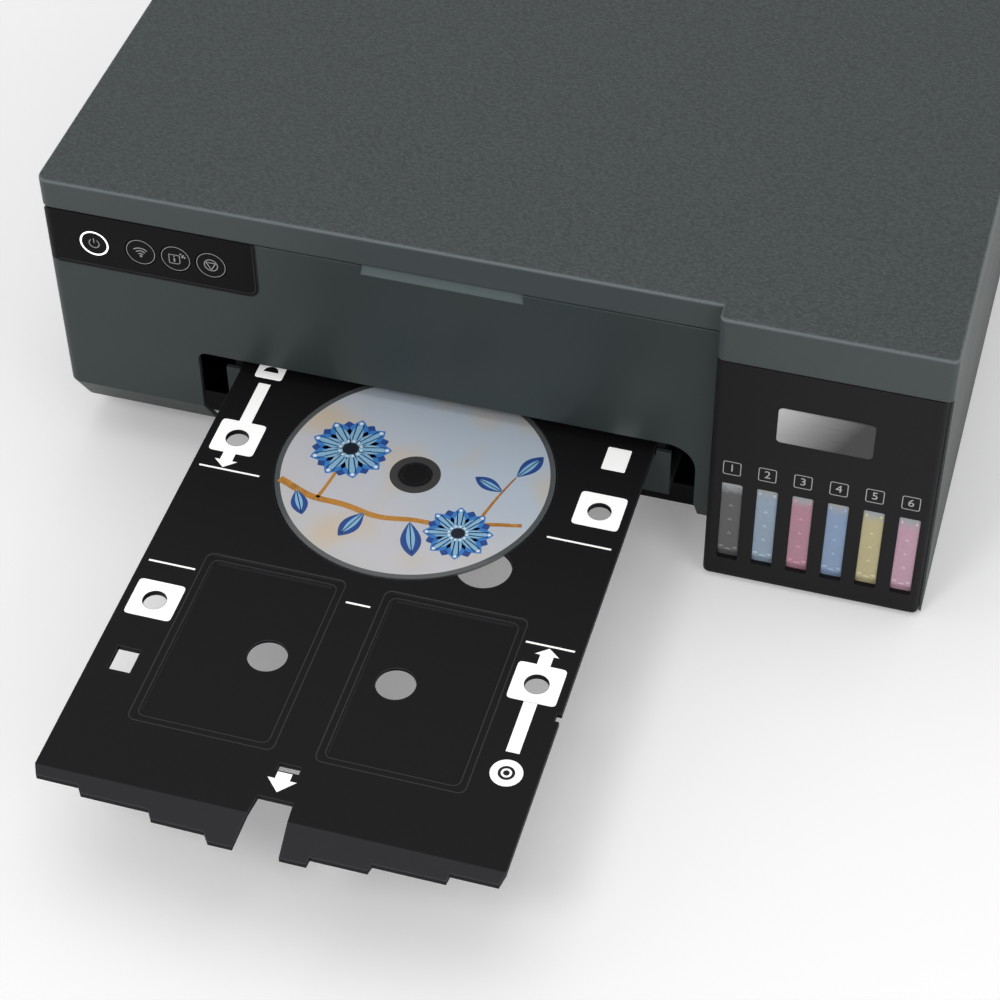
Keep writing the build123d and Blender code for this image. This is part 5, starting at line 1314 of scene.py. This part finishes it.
@dataclass
class Studio:
    """Floor, lamps, sky and the camera at the photograph's angle. Lamps are in metres and watts."""

    location: Triple = (238.85, -951.75, 851.38)
    azimuth: float = 16.678
    elevation: float = 46.023
    roll: float = -0.727
    sensor: float = 36.0
    focal_pixels: float = 2600.87
    picture_pixels: float = 1000.0
    floor: str = "#f4f4f4"
    reach: float = 6.0
    lamps: tuple[tuple[str, Triple, Triple, float, float], ...] = (
        ("overhead", (-0.15, -0.05, 2.3), (0.0, -0.1, 0.0), 1.7, 9.0),
        ("edges", (-0.45, -1.5, 1.7), (0.0, -0.2, 0.1), 0.5, 7.0),
        ("side", (1.3, -1.1, 0.8), (0.15, -0.15, 0.08), 0.8, 4.0),
    )

    def build(self) -> None:
        """Builds the stage."""
        self.camera()
        self.ground()
        for name, place, aim, size, power in self.lamps:
            self.lamp(name, place, aim, size, power)
        self.sky()
        bpy.context.scene.view_settings.view_transform = "Standard"
        LOG.info("set up the floor, %d lamps, the sky and the camera", len(self.lamps))

    def camera(self) -> None:
        """Sets the camera: its back points from the aim to the lens, then it rolls about that line."""
        turn, rise, roll = (math.radians(v) for v in (self.azimuth, self.elevation, self.roll))
        back = Vector((math.sin(turn) * math.cos(rise), -math.cos(turn) * math.cos(rise), math.sin(rise)))
        right = Vector((math.cos(turn), math.sin(turn), 0))
        up = back.cross(right)
        right_rolled = math.cos(roll) * right + math.sin(roll) * up
        up_rolled = -math.sin(roll) * right + math.cos(roll) * up
        lens = bpy.data.cameras.new("photo camera")
        lens.sensor_width = self.sensor
        lens.lens = self.focal_pixels * self.sensor / self.picture_pixels
        lens.clip_start = 0.05
        holder = bpy.data.objects.new("photo camera", lens)
        axes = Matrix((right_rolled, up_rolled, back)).transposed()
        holder.matrix_world = Matrix.Translation(Vector(self.location) * MM) @ axes.to_4x4()
        bpy.context.scene.collection.objects.link(holder)
        bpy.context.scene.camera = holder

    def ground(self) -> None:
        """A pale floor that is nearly white to the camera and keeps its shadow."""
        mesh = bpy.data.meshes.new("floor")
        corners = [(x * self.reach, y * self.reach, 0) for x, y in ((-1, -1), (1, -1), (1, 1), (-1, 1))]
        mesh.from_pydata(corners, [], [(0, 1, 2, 3)])
        material = bpy.data.materials.new("pale floor")
        material.use_nodes = True
        tree = material.node_tree
        shader = tree.nodes["Principled BSDF"]
        shader.inputs["Base Color"].default_value = linear(self.floor)
        shader.inputs["Roughness"].default_value = 0.8
        shader.inputs["Emission Color"].default_value = linear("#ffffff")
        ray = shade(tree, "LightPath")
        glow = shade(tree, "MapRange", {"To Max": 0.2}, {"Value": ray.outputs["Is Camera Ray"]})
        tree.links.new(glow.outputs["Result"], shader.inputs["Emission Strength"])
        mesh.materials.append(material)
        floor = bpy.data.objects.new("floor", mesh)
        bpy.context.scene.collection.objects.link(floor)

    def sky(self) -> None:
        """A soft world that is white to the camera and behind clear plastic."""
        world = bpy.data.worlds.new("studio")
        bpy.context.scene.world = world
        world.use_nodes = True
        tree = world.node_tree
        tree.nodes.clear()
        ray = shade(tree, "LightPath")
        seen = shade(
            tree, "Math", {"operation": "MAXIMUM"},
            {0: ray.outputs["Is Camera Ray"], 1: ray.outputs["Is Transmission Ray"]},
        )
        strength = shade(tree, "MapRange", {"To Min": 0.56, "To Max": 1.0}, {"Value": seen.outputs[0]})
        light = shade(
            tree, "Background", {"Color": linear("#ffffff")}, {"Strength": strength.outputs["Result"]}
        )
        shade(tree, "OutputWorld", {}, {"Surface": light.outputs[0]})

    def lamp(self, name: str, place: Triple, aim: Triple, size: float, power: float) -> None:
        """Adds one square lamp that looks at a point.

        Args:
            name: the lamp's name.
            place: where it hangs.
            aim: the point it looks at.
            size: its side.
            power: its power.
        """
        data = bpy.data.lights.new(name, "AREA")
        data.size = size
        data.energy = power
        holder = bpy.data.objects.new(name, data)
        holder.location = place
        holder.rotation_euler = (Vector(aim) - Vector(place)).to_track_quat("-Z", "Y").to_euler()
        bpy.context.scene.collection.objects.link(holder)


def main() -> None:
    """Dresses the frame and builds each sub-assembly in order."""
    logging.basicConfig(level=logging.INFO, format="%(message)s")
    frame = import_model()
    Dressing(frame["nodes"]).dress()
    TrayMarks().build()
    DiscPrint().build()
    ControlMarks().build()
    TankMarks().build()
    Studio().build()
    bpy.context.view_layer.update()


if __name__ == "__main__":
    main()
